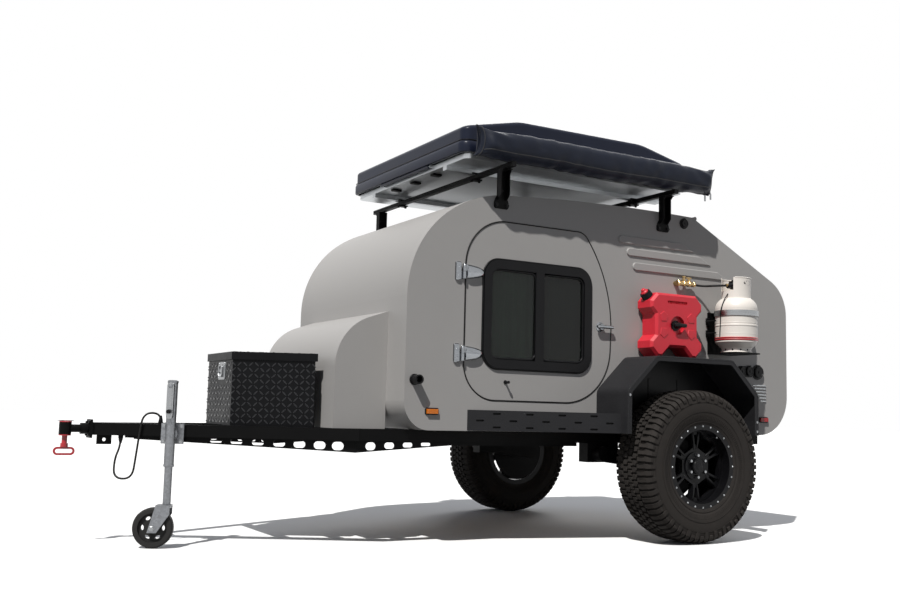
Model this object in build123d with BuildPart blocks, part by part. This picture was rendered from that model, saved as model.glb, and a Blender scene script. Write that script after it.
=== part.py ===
"""Off-road teardrop camping trailer, parked level on its two tyres and its jack.

Millimetres. +X is forward, +Y is left, +Z is up. The origin is on the ground under the middle of the trailer's box.
Distances called "ahead" are measured forward from the axle line, and heights from the ground.
"""
import os
from math import atan2, degrees, radians, sqrt, tan

from build123d import *

# Tyres and rims
TYRE_R = 419
TYRE_W = 280
TRACK_OUT = 200  # from the cabin's side to the tyre's middle
SHOULDER_R = 392
SHOULDER_HALF = 136
TREAD_HALF = 112
BEAD_R = 216
BEAD_HALF = 112
BEAD_FIT = 0.2
RING_R = 236
RING_T = 9
FLANGE_T = 10
BARREL_T = 14
DISC_BACK = 30
DISC_FRONT = 62
HUB_R = 78
HUB_BACK = 10
HUB_FRONT = 70
HUB_CAP_R = 42
HUB_CAP_FRONT = 92
SPOKES = 6
SPOKE_GAP_DEG = 40
SPOKE_INNER_R = 96
SPOKE_OUTER_R = 180
SPOKE_SLOT = (54, 18)
SPOKE_SLOT_R = 146

# Cabin outline, seen from the side
BODY_FRONT = 1695
BODY_REAR = 1025
BODY_BOTTOM = 589
BODY_HALF = 720
BROW_START_Z = 1270
ROOF_ARCS = ((560, 52.0), (661, 33.5), (13400, 5.8))  # radius, degrees turned, from the front up and back
HATCH_SLOPE_DEG = 26.7
FRONT_TOE_R = 145
REAR_TOE_R = 240
HATCH_CORNER_R = 235
WALL = 30
SKIN = 25
MID_Z = 900
CUT_TOP = 3000

# Nose box in front of the cabin
NOSE_FRONT = 1985
NOSE_IN = 206  # from the cabin's side to the nose box's side
NOSE_ARC_Z = 905
NOSE_ARC_R = 270
NOSE_ARC_DEG = 71
NOSE_SKIN = 20

# Side doors, windows and their fittings
DOOR_FRONT = 1355
DOOR_REAR = 396
DOOR_BOTTOM = 750
DOOR_TOP = 1705
DOOR_TOP_REAR = 590
DOOR_BEND = (450, 1473)
DOOR_BEND_FOOT_Z = 1083
DOOR_FRONT_LOW_R = 190
DOOR_FRONT_TOP_R = 250
DOOR_REAR_TOP_R = 80
DOOR_REAR_LOW_R = 310
DOOR_GAP = 5
WINDOW_X = 891
WINDOW_Z = 1207
WINDOW_W = 706
WINDOW_H = 578
WINDOW_R = 92
FRAME_PROUD = 12
FRAME_LIP = 22
FRAME_BAND = 48
MULLION_W = 55
MULLION_X = 888
PANE_T = 5
PANE_LAP = 20
PANE_SET = 8
CURTAIN_T = 9
CURTAIN_W = 340
CURTAIN_H = 590
SEAT_GAP = 0.3
HINGE_X = 1371
HINGE_PROUD = 14
HINGE_HEIGHTS = (986, 1413)
KNUCKLE_R = 10
KNUCKLE_LEN = 38
PIN_R = 4.5
PIN_FIT = 0.05
STRAP_T = 8
STRAP_REACH = 124
LEAF_REACH = 34
KNUCKLE_GAP = 1.5
HANDLE_X = 470
HANDLE_Z = 1180
HANDLE_R = 18
HANDLE_STEM = 18
HANDLE_BAR = (110, 12, 14)
HANDLE_BAR_BACK = 22

# Rear hatch, bulkhead and apron
HATCH_FOOT_Z = 1000
HATCH_GAP = 5
HATCH_PIN_BACK = 20
HATCH_PIN_RISE = 6
HATCH_PIN_R = 5
HATCH_BARREL_R = 12
BULKHEAD_X = -200
MATTRESS_REAR = -165
MATTRESS_FRONT = 1540
MATTRESS_IN = 65  # from the cabin's outer side to the mattress
MATTRESS_T = 125

# Pressed ribs high on the side walls
RIB_H = 46
RIB_PROUD = 8
RIB_EDGE = 4
RIBS = ((340, -235, 1697), (281, -372, 1629), (236, -520, 1548))  # front ahead, rear tip ahead, height

# Fenders and side steps
FENDER_HALF = 488
FENDER_FOOT = 592
FENDER_KNEE_Z = 825
FENDER_TOP = 1020
FENDER_TOP_HALF = 285
FENDER_OUT = 270  # from the cabin's side to the fender's lip
FENDER_T = 6
FENDER_R = 55
LIP_W = 28
STEP_FRONT = 1326
STEP_OUT = 217  # from the cabin's side to the step's outer corner
STEP_BOTTOM = 592
STEP_TOP = 698
STEP_T = 6
STEP_SLOT = (44, 10)
STEP_SLOT_PITCH = 182
STEP_SLOT_FIRST = 70
STEP_ROWS = ((18, 0.5), (54, 0.0), (88, 0.5))  # depth below the top, start as a share of the pitch
STEP_SLOTS = 5

# Frame, tongue and truss plates
RAIL = 60
MAIN_RAIL_IN = 140  # from the cabin's side to the main rail's middle
RAIL_REAR = -880
TONGUE_REAR = 1885
TONGUE_FRONT = 2985
TONGUE_FRONT_Y = 35
TIP_HALF = 40
TIP_BACK = 2890
TIP_FRONT = 3050
CROSS_X = (1800, 1000, 250, -850)
TONGUE_CROSS_IN = (69, 46)  # from the toolbox's rear, and back from its front
TONGUE_CROSS_W = 40
TRUSS_T = 8
TRUSS_DROP = 59
TRUSS_FRONT_DROP = 16
TRUSS_STRIP_DROP = 20
TRUSS_END = 1340
STRIP_REAR = 520
TRUSS_REACH = 1090
TONGUE_HOLES = (90, 180, 280, 380, 485, 590, 690)  # along the rail from the bend
MAIN_HOLES = (80, 185, 290, 395)  # back from the bend
TRUSS_HOLE_W = 58
TRUSS_HOLE_EDGE = 14

# Coupler
FLANGE = (12, 96, 90)
COUPLER_BARREL_R = 27
COUPLER_BARREL_END = 3100
COUPLER_SHAFT_R = 12
COUPLER_SHAFT_BACK = 3056
NECK_R = 19
EYE_X = 3170
EYE_R = 29
EYE_H = 60
EYE_BORE_R = 13
EYE_RING_H = 5
HITCH_PIN_FIT = 0.1
HITCH_PIN_DROP = 42
KNOB_R = 18
KNOB_H = 18
LOOP_HALF = 50
LOOP_H = 40
LOOP_ROD_R = 5
CHAIN_TAB = (70, 12, 46)
CHAIN_TAB_BACK = 2985
CHAIN_BORE_R = 9

# Half axles
HANGER = (220, 80, 108)
HANGER_X = 360
ARM_PIVOT_X = 400
ARM_PIVOT_Z = 470
ARM_R = 42
ARM_T = 65
DRUM_R = 140
DRUM_BACK = 120  # from the tyre's middle in to the drum's back
DRUM_FACE = 40  # and in to its face
STUB_R = 30
SPINDLE_R = 22.5
SPINDLE_FIT = 0.05

# Jack and its caster
JACK_FOOT = 897
JACK_PLATE = (110, 100, 8)
JACK_PLATE_GAP = 2
JACK_BOSS_R = 32
JACK_BOSS_T = 20
JACK_PIVOT_R = 15
JACK_PIVOT_Z = 545
JACK_R = 24
JACK_BOTTOM = 386
JACK_TOP = 800
JACK_CAP = 8
LEG_R = 19
LEG_FIT = 0.08
LEG_TOP = 560
CRANK_Z = 775
CRANK_R = 8
CRANK_ARM_R = 6
CRANK_ARM_OUT = 46
CRANK_OUT = 32
CRANK_ARM = 130
CASTER_R = 96
CASTER_W = 48
CASTER_TRAIL = 58
CASTER_AXLE_R = 8
CASTER_HUB_R = 24
CASTER_SLOTS = 6
CASTER_SLOT = (26, 15)
CASTER_SLOT_R = 50
CASTER_WEB_T = 14
CASTER_RIM_R = 70
FORK_GAP = 6
FORK_T = 6
FORK_W = 44
FORK_PLATE_L = 66
FORK_RISE = 8
KINGPIN_R = 10
KINGPIN_LEN = 55
SWIVEL_GAP = 1

# Toolbox on the tongue
BOX_GAP = 56  # ahead of the nose box
BOX_LEN = 375
BOX_FRONT_HALF = 205
BOX_REAR_HALF = 391
BOX_TOP = 922
BOX_WALL = 5
LID_H = 40
LID_OVER = 8
LID_GAP = 0.5
LID_WALL = 5
LID_PIN_R = 4
LID_BARREL_R = 8
LID_BARREL_LEN = 160
LID_PIN_BACK = 25
LID_EAR_T = 10
LID_EAR_DROP = 24
LID_EAR_STEP = 6

# Roof rack
BAR_X = (1146, 10)
BAR_OUT = 123  # from the cabin's side to the bar's end
BAR_W = 30
BAR_H = 25
BAR_TOP = 2009
BRACKET_W = 92
BRACKET_T = 6
BRACKET_BOTTOM = 1772

# Roof tent and awning
TENT_REAR = -200
TENT_FRONT = 1370
TENT_IN = 20  # from the cabin's side to the tent's side
TENT_RAIL_IN = 270  # and to the tent's rails
TENT_RAIL_W = 40
TENT_BASE_Z = 2033
TENT_BASE_T = 30
TENT_BASE_INSET = 14
TENT_SHELL_T = 8
TENT_SHELL_R = 55
TENT_CROWN_R = 24
TENT_BEND_R = 350
TENT_ROOF = ((1370, 2205), (1010, 2284), (150, 2290), (-200, 2212))  # ahead, height, from front to rear
TENT_PIN_R = 5
TENT_BARREL_R = 10
TENT_BARREL_HALF = 300
TENT_EAR_T = 12
TENT_PIN_X = 1364
TENT_PIN_DROP = 6
BEDDING_INSET = 70
BEDDING_T = 90
AWNING_FRONT = 1390
AWNING_REAR = -290
AWNING_OUT = 105  # from the cabin's side to the bag's middle
AWNING_D = 160
AWNING_H = 152
AWNING_R = 58

# Fuel can and gas cylinder on the left wall
CAN_X = 13
CAN_Z = 1209
CAN_W = 390
CAN_H = 364
CAN_T = 120
CAN_OUT = 15
CAN_CHAMFER = 48
CAN_SIDE_NOTCH = (190, 36)  # width at its mouth, depth
CAN_FOOT_NOTCH = (220, 56)
CAN_EDGE = 14
CAN_DISH_R = 54
CAN_DISH = 20
CAN_SLOT = (150, 16)
CAN_SLOT_RISE = 132
CAN_SLOT_DEPTH = 10
CAN_PLATE = (150, 180)
CAN_KNOB_R = 16
CAN_KNOB_H = 14
CAN_TEE = (80, 16, 16)
CAN_CAP_R = 30
CAN_CAP_H = 34
GAS_X = -442
GAS_OUT = 20
GAS_R = 123
GAS_FOOT_R = 88
GAS_FOOT_H = 26
GAS_BOTTOM = 1074
GAS_BELLY_LOW = 1135
GAS_BELLY_TOP = 1335
GAS_SHOULDER = 1408
GAS_NECK_R = 48
COLLAR_R = 86
COLLAR_T = 4
COLLAR_TOP = 1519
COLLAR_GAP_W = 96
SHELF_T = 8
SHELF_HALF = 95
BACK_PLATE_T = 8
STRAP_Z = 1292
STRAP_H = 26
STRAP_RING_T = 4
VALVE_R = 16
VALVE_H = 66
VALVE_ARM = 52
WALL_ELBOW_X = -90
WALL_ELBOW_R = 15
WALL_ELBOW_OUT = 32
WALL_ELBOW_LEN = 120
HOSE_R = 6.5

# Lamps and ports
MARKER = (64, 14, 24)
MARKER_X = 1537
MARKER_Z = 685
REAR_MARKER_X = -813
REAR_MARKER_Z = 683
TAIL_R = 52
TAIL_IN = 160  # from the cabin's side to the tail lamp's middle
TAIL_Z = 905
TAIL_PROUD = 14
PORTS = ((-625, 975, 26, 16), (-690, 978, 30, 16), (-765, 975, 38, 18), (-157, 1842, 26, 14))  # ahead, z, r, proud
PIPE_X = 1640
PIPE_Z = 842
PIPE_R = 24
PIPE_BORE_R = 17
PIPE_OUT = 55

# Tow cable: from a gland on top of the left tongue rail, over its outer face, to a gland under it
CABLE_R = 5
GLAND_R = 12
GLAND_H = 12
CABLE_START = (965, 0, 601)  # along the rail from the bend, out from its middle, height
CABLE_BENDS = (
    (965, 0, 642, 36),
    (1040, 44, 642, 36),
    (1054, 44, 545, 200),
    (1066, 44, 425, 200),
    (1078, 44, 322, 42),
    (1168, 40, 322, 42),
    (1172, 24, 415, 60),
    (1154, 0, 476, 40),
)  # the same three, and the radius of the bend there
CABLE_END = (1154, 0, 517)

# Worked out from the sizes above
REAR_REACH = BODY_REAR + TAIL_PROUD
NOSE_REACH = EYE_X + LOOP_HALF
AXLE_X = (REAR_REACH - NOSE_REACH) / 2
TRACK_HALF = BODY_HALF + TRACK_OUT
DRUM_INNER_Y = TRACK_HALF - DRUM_BACK
DRUM_OUTER_Y = TRACK_HALF - DRUM_FACE
FENDER_Y = BODY_HALF + FENDER_OUT
STEP_Y = BODY_HALF + STEP_OUT
NOSE_HALF = BODY_HALF - NOSE_IN
MATTRESS_HALF = BODY_HALF - MATTRESS_IN
MAIN_RAIL_Y = BODY_HALF - MAIN_RAIL_IN
TAIL_Y = BODY_HALF - TAIL_IN
BAR_HALF = BODY_HALF + BAR_OUT
TENT_HALF = BODY_HALF - TENT_IN
TENT_RAIL_Y = BODY_HALF - TENT_RAIL_IN
AWNING_Y = BODY_HALF + AWNING_OUT
BOX_REAR = NOSE_FRONT + BOX_GAP
BOX_FRONT = BOX_REAR + BOX_LEN
TONGUE_CROSS_X = (BOX_REAR + TONGUE_CROSS_IN[0], BOX_FRONT - TONGUE_CROSS_IN[1])
RAIL_MID_Z = BODY_BOTTOM - RAIL / 2
TONGUE_RUN = TONGUE_FRONT - TONGUE_REAR
TONGUE_SPREAD = MAIN_RAIL_Y - TONGUE_FRONT_Y
TONGUE_LEN = sqrt(TONGUE_RUN**2 + TONGUE_SPREAD**2)
TONGUE_DIR = (TONGUE_RUN / TONGUE_LEN, -TONGUE_SPREAD / TONGUE_LEN)
TONGUE_OUT = (-TONGUE_DIR[1], TONGUE_DIR[0])
TONGUE_SKEW = RAIL / 2 * TONGUE_LEN / TONGUE_RUN


def at(ahead, left, height):
    """A point given from the axle line, in the trailer's frame."""
    return (AXLE_X + ahead, left, height)


def side_plane(left):
    """Upright plane along the trailer: local x runs forward, local y up, and it faces right."""
    return Plane(origin=at(0, left, 0), x_dir=(1, 0, 0), z_dir=(0, -1, 0))


def cross_plane(ahead):
    """Upright plane across the trailer: local x runs left, local y up, and it faces forward."""
    return Plane(origin=at(ahead, 0, 0), x_dir=(0, 1, 0), z_dir=(1, 0, 0))


def plan_plane(height):
    """Level plane: local x runs forward from the axle, local y left, and it faces up."""
    return Plane(origin=at(0, 0, height), x_dir=(1, 0, 0), z_dir=(0, 0, 1))


def rail_spot(along, out, height):
    """A point given along the left tongue rail from its bend, and outward from its middle."""
    return at(
        TONGUE_REAR + along * TONGUE_DIR[0] + out * TONGUE_OUT[0],
        MAIN_RAIL_Y + along * TONGUE_DIR[1] + out * TONGUE_OUT[1],
        height,
    )


def rail_plane(along, out, height):
    """Upright plane beside the left tongue rail: local x runs back along it and local y up."""
    back = (-TONGUE_DIR[0], -TONGUE_DIR[1], 0)
    return Plane(origin=rail_spot(along, out, height), x_dir=back, z_dir=(TONGUE_OUT[0], TONGUE_OUT[1], 0))


def rail_inner(ahead):
    """Distance from the middle to the tongue rail's inner face."""
    return MAIN_RAIL_Y - (ahead - TONGUE_REAR) * TONGUE_SPREAD / TONGUE_RUN - TONGUE_SKEW


def window_band(amount, mode=Mode.ADD):
    """Rounded window rectangle, grown by an amount, in the open sketch."""
    with Locations((WINDOW_X, WINDOW_Z)):
        RectangleRounded(WINDOW_W + 2 * amount, WINDOW_H + 2 * amount, WINDOW_R + amount, mode=mode)


def roof_line():
    """The cabin's front and roof in the open line; gives the point where the rear hatch starts."""
    curve = Line((BODY_FRONT, BODY_BOTTOM), (BODY_FRONT, BROW_START_Z))
    for radius, turn in ROOF_ARCS:
        curve = JernArc(start=curve @ 1, tangent=curve % 1, radius=radius, arc_size=turn)
    return curve @ 1


def body_outline():
    """The cabin's side outline in the open sketch."""
    with BuildLine() as outline:
        seam = roof_line()
        foot = seam.Y - (seam.X + BODY_REAR) * tan(radians(HATCH_SLOPE_DEG))
        Polyline(seam, (-BODY_REAR, foot), (-BODY_REAR, BODY_BOTTOM), (BODY_FRONT, BODY_BOTTOM))
    make_face(outline.edges())
    fillet(vertices().group_by(Axis.X)[0].sort_by(Axis.Y)[-1], HATCH_CORNER_R)
    fillet(vertices().group_by(Axis.X)[0].sort_by(Axis.Y)[0], REAR_TOE_R)
    fillet(vertices().group_by(Axis.X)[-1].sort_by(Axis.Y)[0], FRONT_TOE_R)


def door_outline():
    """The side door's outline in the open sketch."""
    with BuildLine() as outline:
        Polyline(
            (DOOR_REAR, DOOR_BEND_FOOT_Z),
            (DOOR_REAR, DOOR_BOTTOM),
            (DOOR_FRONT, DOOR_BOTTOM),
            (DOOR_FRONT, DOOR_TOP),
            (DOOR_TOP_REAR, DOOR_TOP),
        )
        ThreePointArc((DOOR_TOP_REAR, DOOR_TOP), DOOR_BEND, (DOOR_REAR, DOOR_BEND_FOOT_Z))
    make_face(outline.edges())
    fillet(vertices().group_by(Axis.Y)[-1].sort_by(Axis.X)[0], DOOR_REAR_TOP_R)
    fillet(vertices().group_by(Axis.Y)[-1].sort_by(Axis.X)[-1], DOOR_FRONT_TOP_R)
    fillet(vertices().group_by(Axis.Y)[0].sort_by(Axis.X)[-1], DOOR_FRONT_LOW_R)
    fillet(vertices().group_by(Axis.Y)[0].sort_by(Axis.X)[0], DOOR_REAR_LOW_R)


def nose_outline(inset, back):
    """The nose box's side outline in the open sketch, pulled in by an inset and reaching back to a given place."""
    with BuildLine() as outline:
        rise = Line((NOSE_FRONT - inset, BODY_BOTTOM + inset), (NOSE_FRONT - inset, NOSE_ARC_Z))
        arc = JernArc(start=rise @ 1, tangent=rise % 1, radius=NOSE_ARC_R - inset, arc_size=NOSE_ARC_DEG)
        lift = ((arc @ 1).X - back) * tan(radians(90 - NOSE_ARC_DEG))
        Polyline(
            arc @ 1,
            (back, (arc @ 1).Y + lift),
            (back, BODY_BOTTOM + inset),
            (NOSE_FRONT - inset, BODY_BOTTOM + inset),
        )
    make_face(outline.edges())


def fender_outline():
    """The fender's angular side outline in the open sketch."""
    with BuildLine() as outline:
        Polyline(
            (FENDER_HALF, FENDER_FOOT),
            (FENDER_HALF, FENDER_KNEE_Z),
            (FENDER_TOP_HALF, FENDER_TOP),
            (-FENDER_TOP_HALF, FENDER_TOP),
            (-FENDER_HALF, FENDER_KNEE_Z),
            (-FENDER_HALF, FENDER_FOOT),
            close=True,
        )
    make_face(outline.edges())
    fillet([corner for corner in vertices() if corner.Y > FENDER_FOOT + LIP_W], FENDER_R)


def fender_band(width):
    """The fender's outline as an open band of a given width in the open sketch."""
    fender_outline()
    offset(amount=-width, mode=Mode.SUBTRACT)
    with Locations((0, FENDER_FOOT + width / 2)):
        Rectangle(2 * (FENDER_HALF - width), width, mode=Mode.SUBTRACT)


# Frame: main rails, crossmembers, tongue rails
with BuildPart() as main_rails:
    with Locations(at((TONGUE_REAR + RAIL_REAR) / 2, MAIN_RAIL_Y, RAIL_MID_Z)):
        Box(TONGUE_REAR - RAIL_REAR, RAIL, RAIL)
    mirror(about=Plane.XZ)

with BuildPart() as crossmembers:
    for cross_x in CROSS_X:
        with Locations(at(cross_x, 0, RAIL_MID_Z)):
            Box(RAIL, 2 * MAIN_RAIL_Y - RAIL, RAIL)
    with BuildSketch(plan_plane(BODY_BOTTOM - RAIL)):
        for cross_x in TONGUE_CROSS_X:
            rear = cross_x - TONGUE_CROSS_W / 2
            front = cross_x + TONGUE_CROSS_W / 2
            with BuildLine():
                Polyline(
                    (rear, rail_inner(rear)),
                    (front, rail_inner(front)),
                    (front, -rail_inner(front)),
                    (rear, -rail_inner(rear)),
                    close=True,
                )
            make_face()
    extrude(amount=RAIL)

with BuildPart() as tongue_rails:
    with BuildSketch(plan_plane(BODY_BOTTOM - RAIL)):
        with BuildLine():
            reach = (TONGUE_FRONT_Y - TIP_HALF) * TONGUE_RUN / TONGUE_SPREAD
            slant = RAIL / 2 * TONGUE_LEN / TONGUE_SPREAD
            Polyline(
                (TONGUE_REAR, MAIN_RAIL_Y - TONGUE_SKEW),
                (TONGUE_REAR, MAIN_RAIL_Y + TONGUE_SKEW),
                (TONGUE_FRONT + reach + slant, TIP_HALF),
                (TONGUE_FRONT + reach - slant, TIP_HALF),
                close=True,
            )
        make_face()
    extrude(amount=RAIL)
    mirror(about=Plane.XZ)
    with Locations(rail_spot(CABLE_START[0], CABLE_START[1], BODY_BOTTOM + GLAND_H / 2)):
        Cylinder(GLAND_R, GLAND_H)
    with Locations(rail_spot(CABLE_END[0], CABLE_END[1], BODY_BOTTOM - RAIL - GLAND_H / 2)):
        Cylinder(GLAND_R, GLAND_H)

with BuildPart() as truss_plates:
    with BuildSketch(rail_plane(0, -TRUSS_T / 2, BODY_BOTTOM - RAIL)):
        with BuildLine():
            Polyline(
                (0, 0),
                (-TRUSS_REACH, 0),
                (-TRUSS_REACH, -TRUSS_FRONT_DROP),
                (0, -TRUSS_DROP),
                close=True,
            )
        make_face()
        for along in TONGUE_HOLES:
            depth = TRUSS_DROP - (TRUSS_DROP - TRUSS_FRONT_DROP) * along / TRUSS_REACH
            with Locations((-along, -depth / 2)):
                SlotOverall(TRUSS_HOLE_W, depth - TRUSS_HOLE_EDGE, mode=Mode.SUBTRACT)
    extrude(amount=TRUSS_T)
    with BuildSketch(side_plane(MAIN_RAIL_Y + TRUSS_T / 2)):
        with BuildLine():
            Polyline(
                (TONGUE_REAR + TRUSS_T / 2, BODY_BOTTOM - RAIL),
                (TONGUE_REAR + TRUSS_T / 2, BODY_BOTTOM - RAIL - TRUSS_DROP),
                (TRUSS_END, BODY_BOTTOM - RAIL - TRUSS_STRIP_DROP),
                (STRIP_REAR, BODY_BOTTOM - RAIL - TRUSS_STRIP_DROP),
                (STRIP_REAR, BODY_BOTTOM - RAIL),
                close=True,
            )
        make_face()
        for back in MAIN_HOLES:
            depth = TRUSS_DROP - (TRUSS_DROP - TRUSS_STRIP_DROP) * back / (TONGUE_REAR - TRUSS_END)
            with Locations((TONGUE_REAR - back, BODY_BOTTOM - RAIL - depth / 2)):
                SlotOverall(TRUSS_HOLE_W, depth - TRUSS_HOLE_EDGE, mode=Mode.SUBTRACT)
    extrude(amount=TRUSS_T)
    mirror(about=Plane.XZ)

# Coupler: housing on the frame, turning head, hitch pin
with BuildPart() as coupler_housing:
    with Locations(at((TIP_BACK + TIP_FRONT) / 2, 0, RAIL_MID_Z)):
        Box(TIP_FRONT - TIP_BACK, 2 * TIP_HALF, RAIL)
    with Locations(at(TIP_FRONT + FLANGE[0] / 2, 0, RAIL_MID_Z)):
        Box(*FLANGE)
    with BuildSketch(cross_plane(TIP_FRONT)):
        with Locations((0, RAIL_MID_Z)):
            Circle(COUPLER_BARREL_R)
    extrude(amount=COUPLER_BARREL_END - TIP_FRONT)
    with Locations(at(CHAIN_TAB_BACK, 0, BODY_BOTTOM - RAIL - CHAIN_TAB[2] / 2)):
        Box(*CHAIN_TAB)
    with BuildSketch(side_plane(CHAIN_TAB[1] / 2)):
        with Locations((CHAIN_TAB_BACK, BODY_BOTTOM - RAIL - CHAIN_TAB[2] / 2)):
            Circle(CHAIN_BORE_R)
    extrude(amount=CHAIN_TAB[1], mode=Mode.SUBTRACT)
    with BuildSketch(cross_plane(COUPLER_SHAFT_BACK)):
        with Locations((0, RAIL_MID_Z)):
            Circle(COUPLER_SHAFT_R + PIN_FIT)
    extrude(amount=COUPLER_BARREL_END - COUPLER_SHAFT_BACK, mode=Mode.SUBTRACT)

with BuildPart() as coupler_head:
    with BuildSketch(cross_plane(COUPLER_SHAFT_BACK + SWIVEL_GAP)):
        with Locations((0, RAIL_MID_Z)):
            Circle(COUPLER_SHAFT_R)
    extrude(amount=EYE_X - COUPLER_SHAFT_BACK - SWIVEL_GAP)
    with BuildSketch(cross_plane(COUPLER_BARREL_END + SWIVEL_GAP)):
        with Locations((0, RAIL_MID_Z)):
            Circle(NECK_R)
    extrude(amount=EYE_X - COUPLER_BARREL_END - SWIVEL_GAP)
    with Locations(at(EYE_X, 0, RAIL_MID_Z)):
        Cylinder(EYE_R, EYE_H)
        Cylinder(EYE_BORE_R, EYE_H, mode=Mode.SUBTRACT)

with BuildPart() as hitch_pin:
    pin_top = RAIL_MID_Z + EYE_H / 2 + EYE_RING_H
    pin_foot = RAIL_MID_Z - EYE_H / 2 - HITCH_PIN_DROP
    loop_mid = pin_foot - KNOB_H - LOOP_H / 2
    with Locations(at(EYE_X, 0, (pin_top + pin_foot) / 2)):
        Cylinder(EYE_BORE_R - HITCH_PIN_FIT, pin_top - pin_foot)
    with Locations(at(EYE_X, 0, RAIL_MID_Z + EYE_H / 2 + EYE_RING_H / 2)):
        Cylinder(EYE_R, EYE_RING_H)
    with Locations(at(EYE_X, 0, RAIL_MID_Z - EYE_H / 2 - EYE_RING_H / 2)):
        Cylinder(EYE_R, EYE_RING_H)
    with Locations(at(EYE_X, 0, pin_foot - KNOB_H / 2)):
        Cylinder(KNOB_R, KNOB_H)
    with BuildSketch(side_plane(LOOP_ROD_R)):
        with Locations((EYE_X, loop_mid)):
            SlotOverall(2 * LOOP_HALF, LOOP_H)
            SlotOverall(2 * LOOP_HALF - 4 * LOOP_ROD_R, LOOP_H - 4 * LOOP_ROD_R, mode=Mode.SUBTRACT)
    extrude(amount=2 * LOOP_ROD_R)

# Half axles: hanger boxes under the rails, trailing arms with drum and spindle
with BuildPart() as half_axles:
    with Locations(at(HANGER_X, MAIN_RAIL_Y, BODY_BOTTOM - RAIL - HANGER[2] / 2)):
        Box(*HANGER)
    arm_y = MAIN_RAIL_Y + HANGER[1] / 2
    arm_rise = ARM_PIVOT_Z - TYRE_R
    arm_len = sqrt(ARM_PIVOT_X**2 + arm_rise**2)
    with BuildSketch(side_plane(arm_y + ARM_T)):
        with Locations((ARM_PIVOT_X / 2, TYRE_R + arm_rise / 2)):
            SlotCenterToCenter(arm_len, 2 * ARM_R, rotation=degrees(atan2(arm_rise, ARM_PIVOT_X)))
    extrude(amount=ARM_T)
    for radius, inner, outer in (
        (STUB_R, arm_y, DRUM_INNER_Y),
        (DRUM_R, DRUM_INNER_Y, DRUM_OUTER_Y),
        (SPINDLE_R, DRUM_OUTER_Y, TRACK_HALF + HUB_FRONT),
    ):
        with BuildSketch(side_plane(outer)):
            with Locations((0, TYRE_R)):
                Circle(radius)
        extrude(amount=outer - inner)
    mirror(about=Plane.XZ)

# Wheels: the outline turns about the axle, local x outward from the tyre's middle
with BuildPart() as tyre_left:
    with BuildSketch(Plane(origin=at(0, TRACK_HALF, TYRE_R), x_dir=(0, 1, 0), z_dir=(1, 0, 0))):
        with BuildLine():
            inner = Line((-BEAD_HALF, BEAD_R + BEAD_FIT), (BEAD_HALF, BEAD_R + BEAD_FIT))
            Line((BEAD_HALF, BEAD_R + BEAD_FIT), (BEAD_HALF, RING_R))
            wall_mid = (TYRE_W / 2, (RING_R + SHOULDER_R) / 2)
            ThreePointArc((BEAD_HALF, RING_R), wall_mid, (SHOULDER_HALF, SHOULDER_R))
            Polyline(
                (SHOULDER_HALF, SHOULDER_R),
                (TREAD_HALF, TYRE_R),
                (-TREAD_HALF, TYRE_R),
                (-SHOULDER_HALF, SHOULDER_R),
            )
            ThreePointArc((-SHOULDER_HALF, SHOULDER_R), (-wall_mid[0], wall_mid[1]), (-BEAD_HALF, RING_R))
            Line((-BEAD_HALF, RING_R), inner @ 0)
        make_face()
    revolve(axis=Axis(at(0, 0, TYRE_R), (0, 1, 0)))

with BuildPart() as rim_left:
    with BuildSketch(Plane(origin=at(0, TRACK_HALF, TYRE_R), x_dir=(0, 1, 0), z_dir=(1, 0, 0))):
        with BuildLine():
            Polyline(
                (-BEAD_HALF - FLANGE_T, BEAD_R - BARREL_T),
                (-BEAD_HALF - FLANGE_T, RING_R),
                (-BEAD_HALF, RING_R),
                (-BEAD_HALF, BEAD_R),
                (BEAD_HALF, BEAD_R),
                (BEAD_HALF, RING_R),
                (BEAD_HALF + RING_T, RING_R),
                (BEAD_HALF + RING_T, BEAD_R - BARREL_T),
                close=True,
            )
        make_face()
        with BuildLine():
            Polyline(
                (DISC_BACK, HUB_R - BARREL_T),
                (DISC_FRONT, HUB_R - BARREL_T),
                (DISC_FRONT, BEAD_R - BARREL_T),
                (DISC_BACK, BEAD_R - BARREL_T),
                close=True,
            )
        make_face()
        with BuildLine():
            Polyline(
                (HUB_BACK, 0),
                (HUB_BACK, HUB_R),
                (HUB_FRONT, HUB_R),
                (HUB_FRONT, HUB_CAP_R),
                (HUB_CAP_FRONT, HUB_CAP_R),
                (HUB_CAP_FRONT, 0),
                close=True,
            )
        make_face()
    revolve(axis=Axis(at(0, 0, TYRE_R), (0, 1, 0)))
    spread = tan(radians(SPOKE_GAP_DEG / 2))
    with BuildSketch(side_plane(TRACK_HALF + DISC_FRONT)):
        with Locations((0, TYRE_R)):
            with PolarLocations(0, SPOKES):
                Polygon(
                    (SPOKE_INNER_R, SPOKE_INNER_R * spread),
                    (SPOKE_OUTER_R, SPOKE_OUTER_R * spread),
                    (SPOKE_OUTER_R, -SPOKE_OUTER_R * spread),
                    (SPOKE_INNER_R, -SPOKE_INNER_R * spread),
                    align=None,
                )
            with PolarLocations(SPOKE_SLOT_R, SPOKES, start_angle=180 / SPOKES):
                Rectangle(*SPOKE_SLOT)
    extrude(amount=DISC_FRONT - DISC_BACK, mode=Mode.SUBTRACT)
    with BuildSketch(side_plane(TRACK_HALF + HUB_FRONT + SWIVEL_GAP)):
        with Locations((0, TYRE_R)):
            Circle(SPINDLE_R + SPINDLE_FIT)
    extrude(amount=HUB_FRONT + SWIVEL_GAP - HUB_BACK, mode=Mode.SUBTRACT)

with BuildPart() as tyre_right:
    mirror(tyre_left.part, about=Plane.XZ)

with BuildPart() as rim_right:
    mirror(rim_left.part, about=Plane.XZ)

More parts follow.
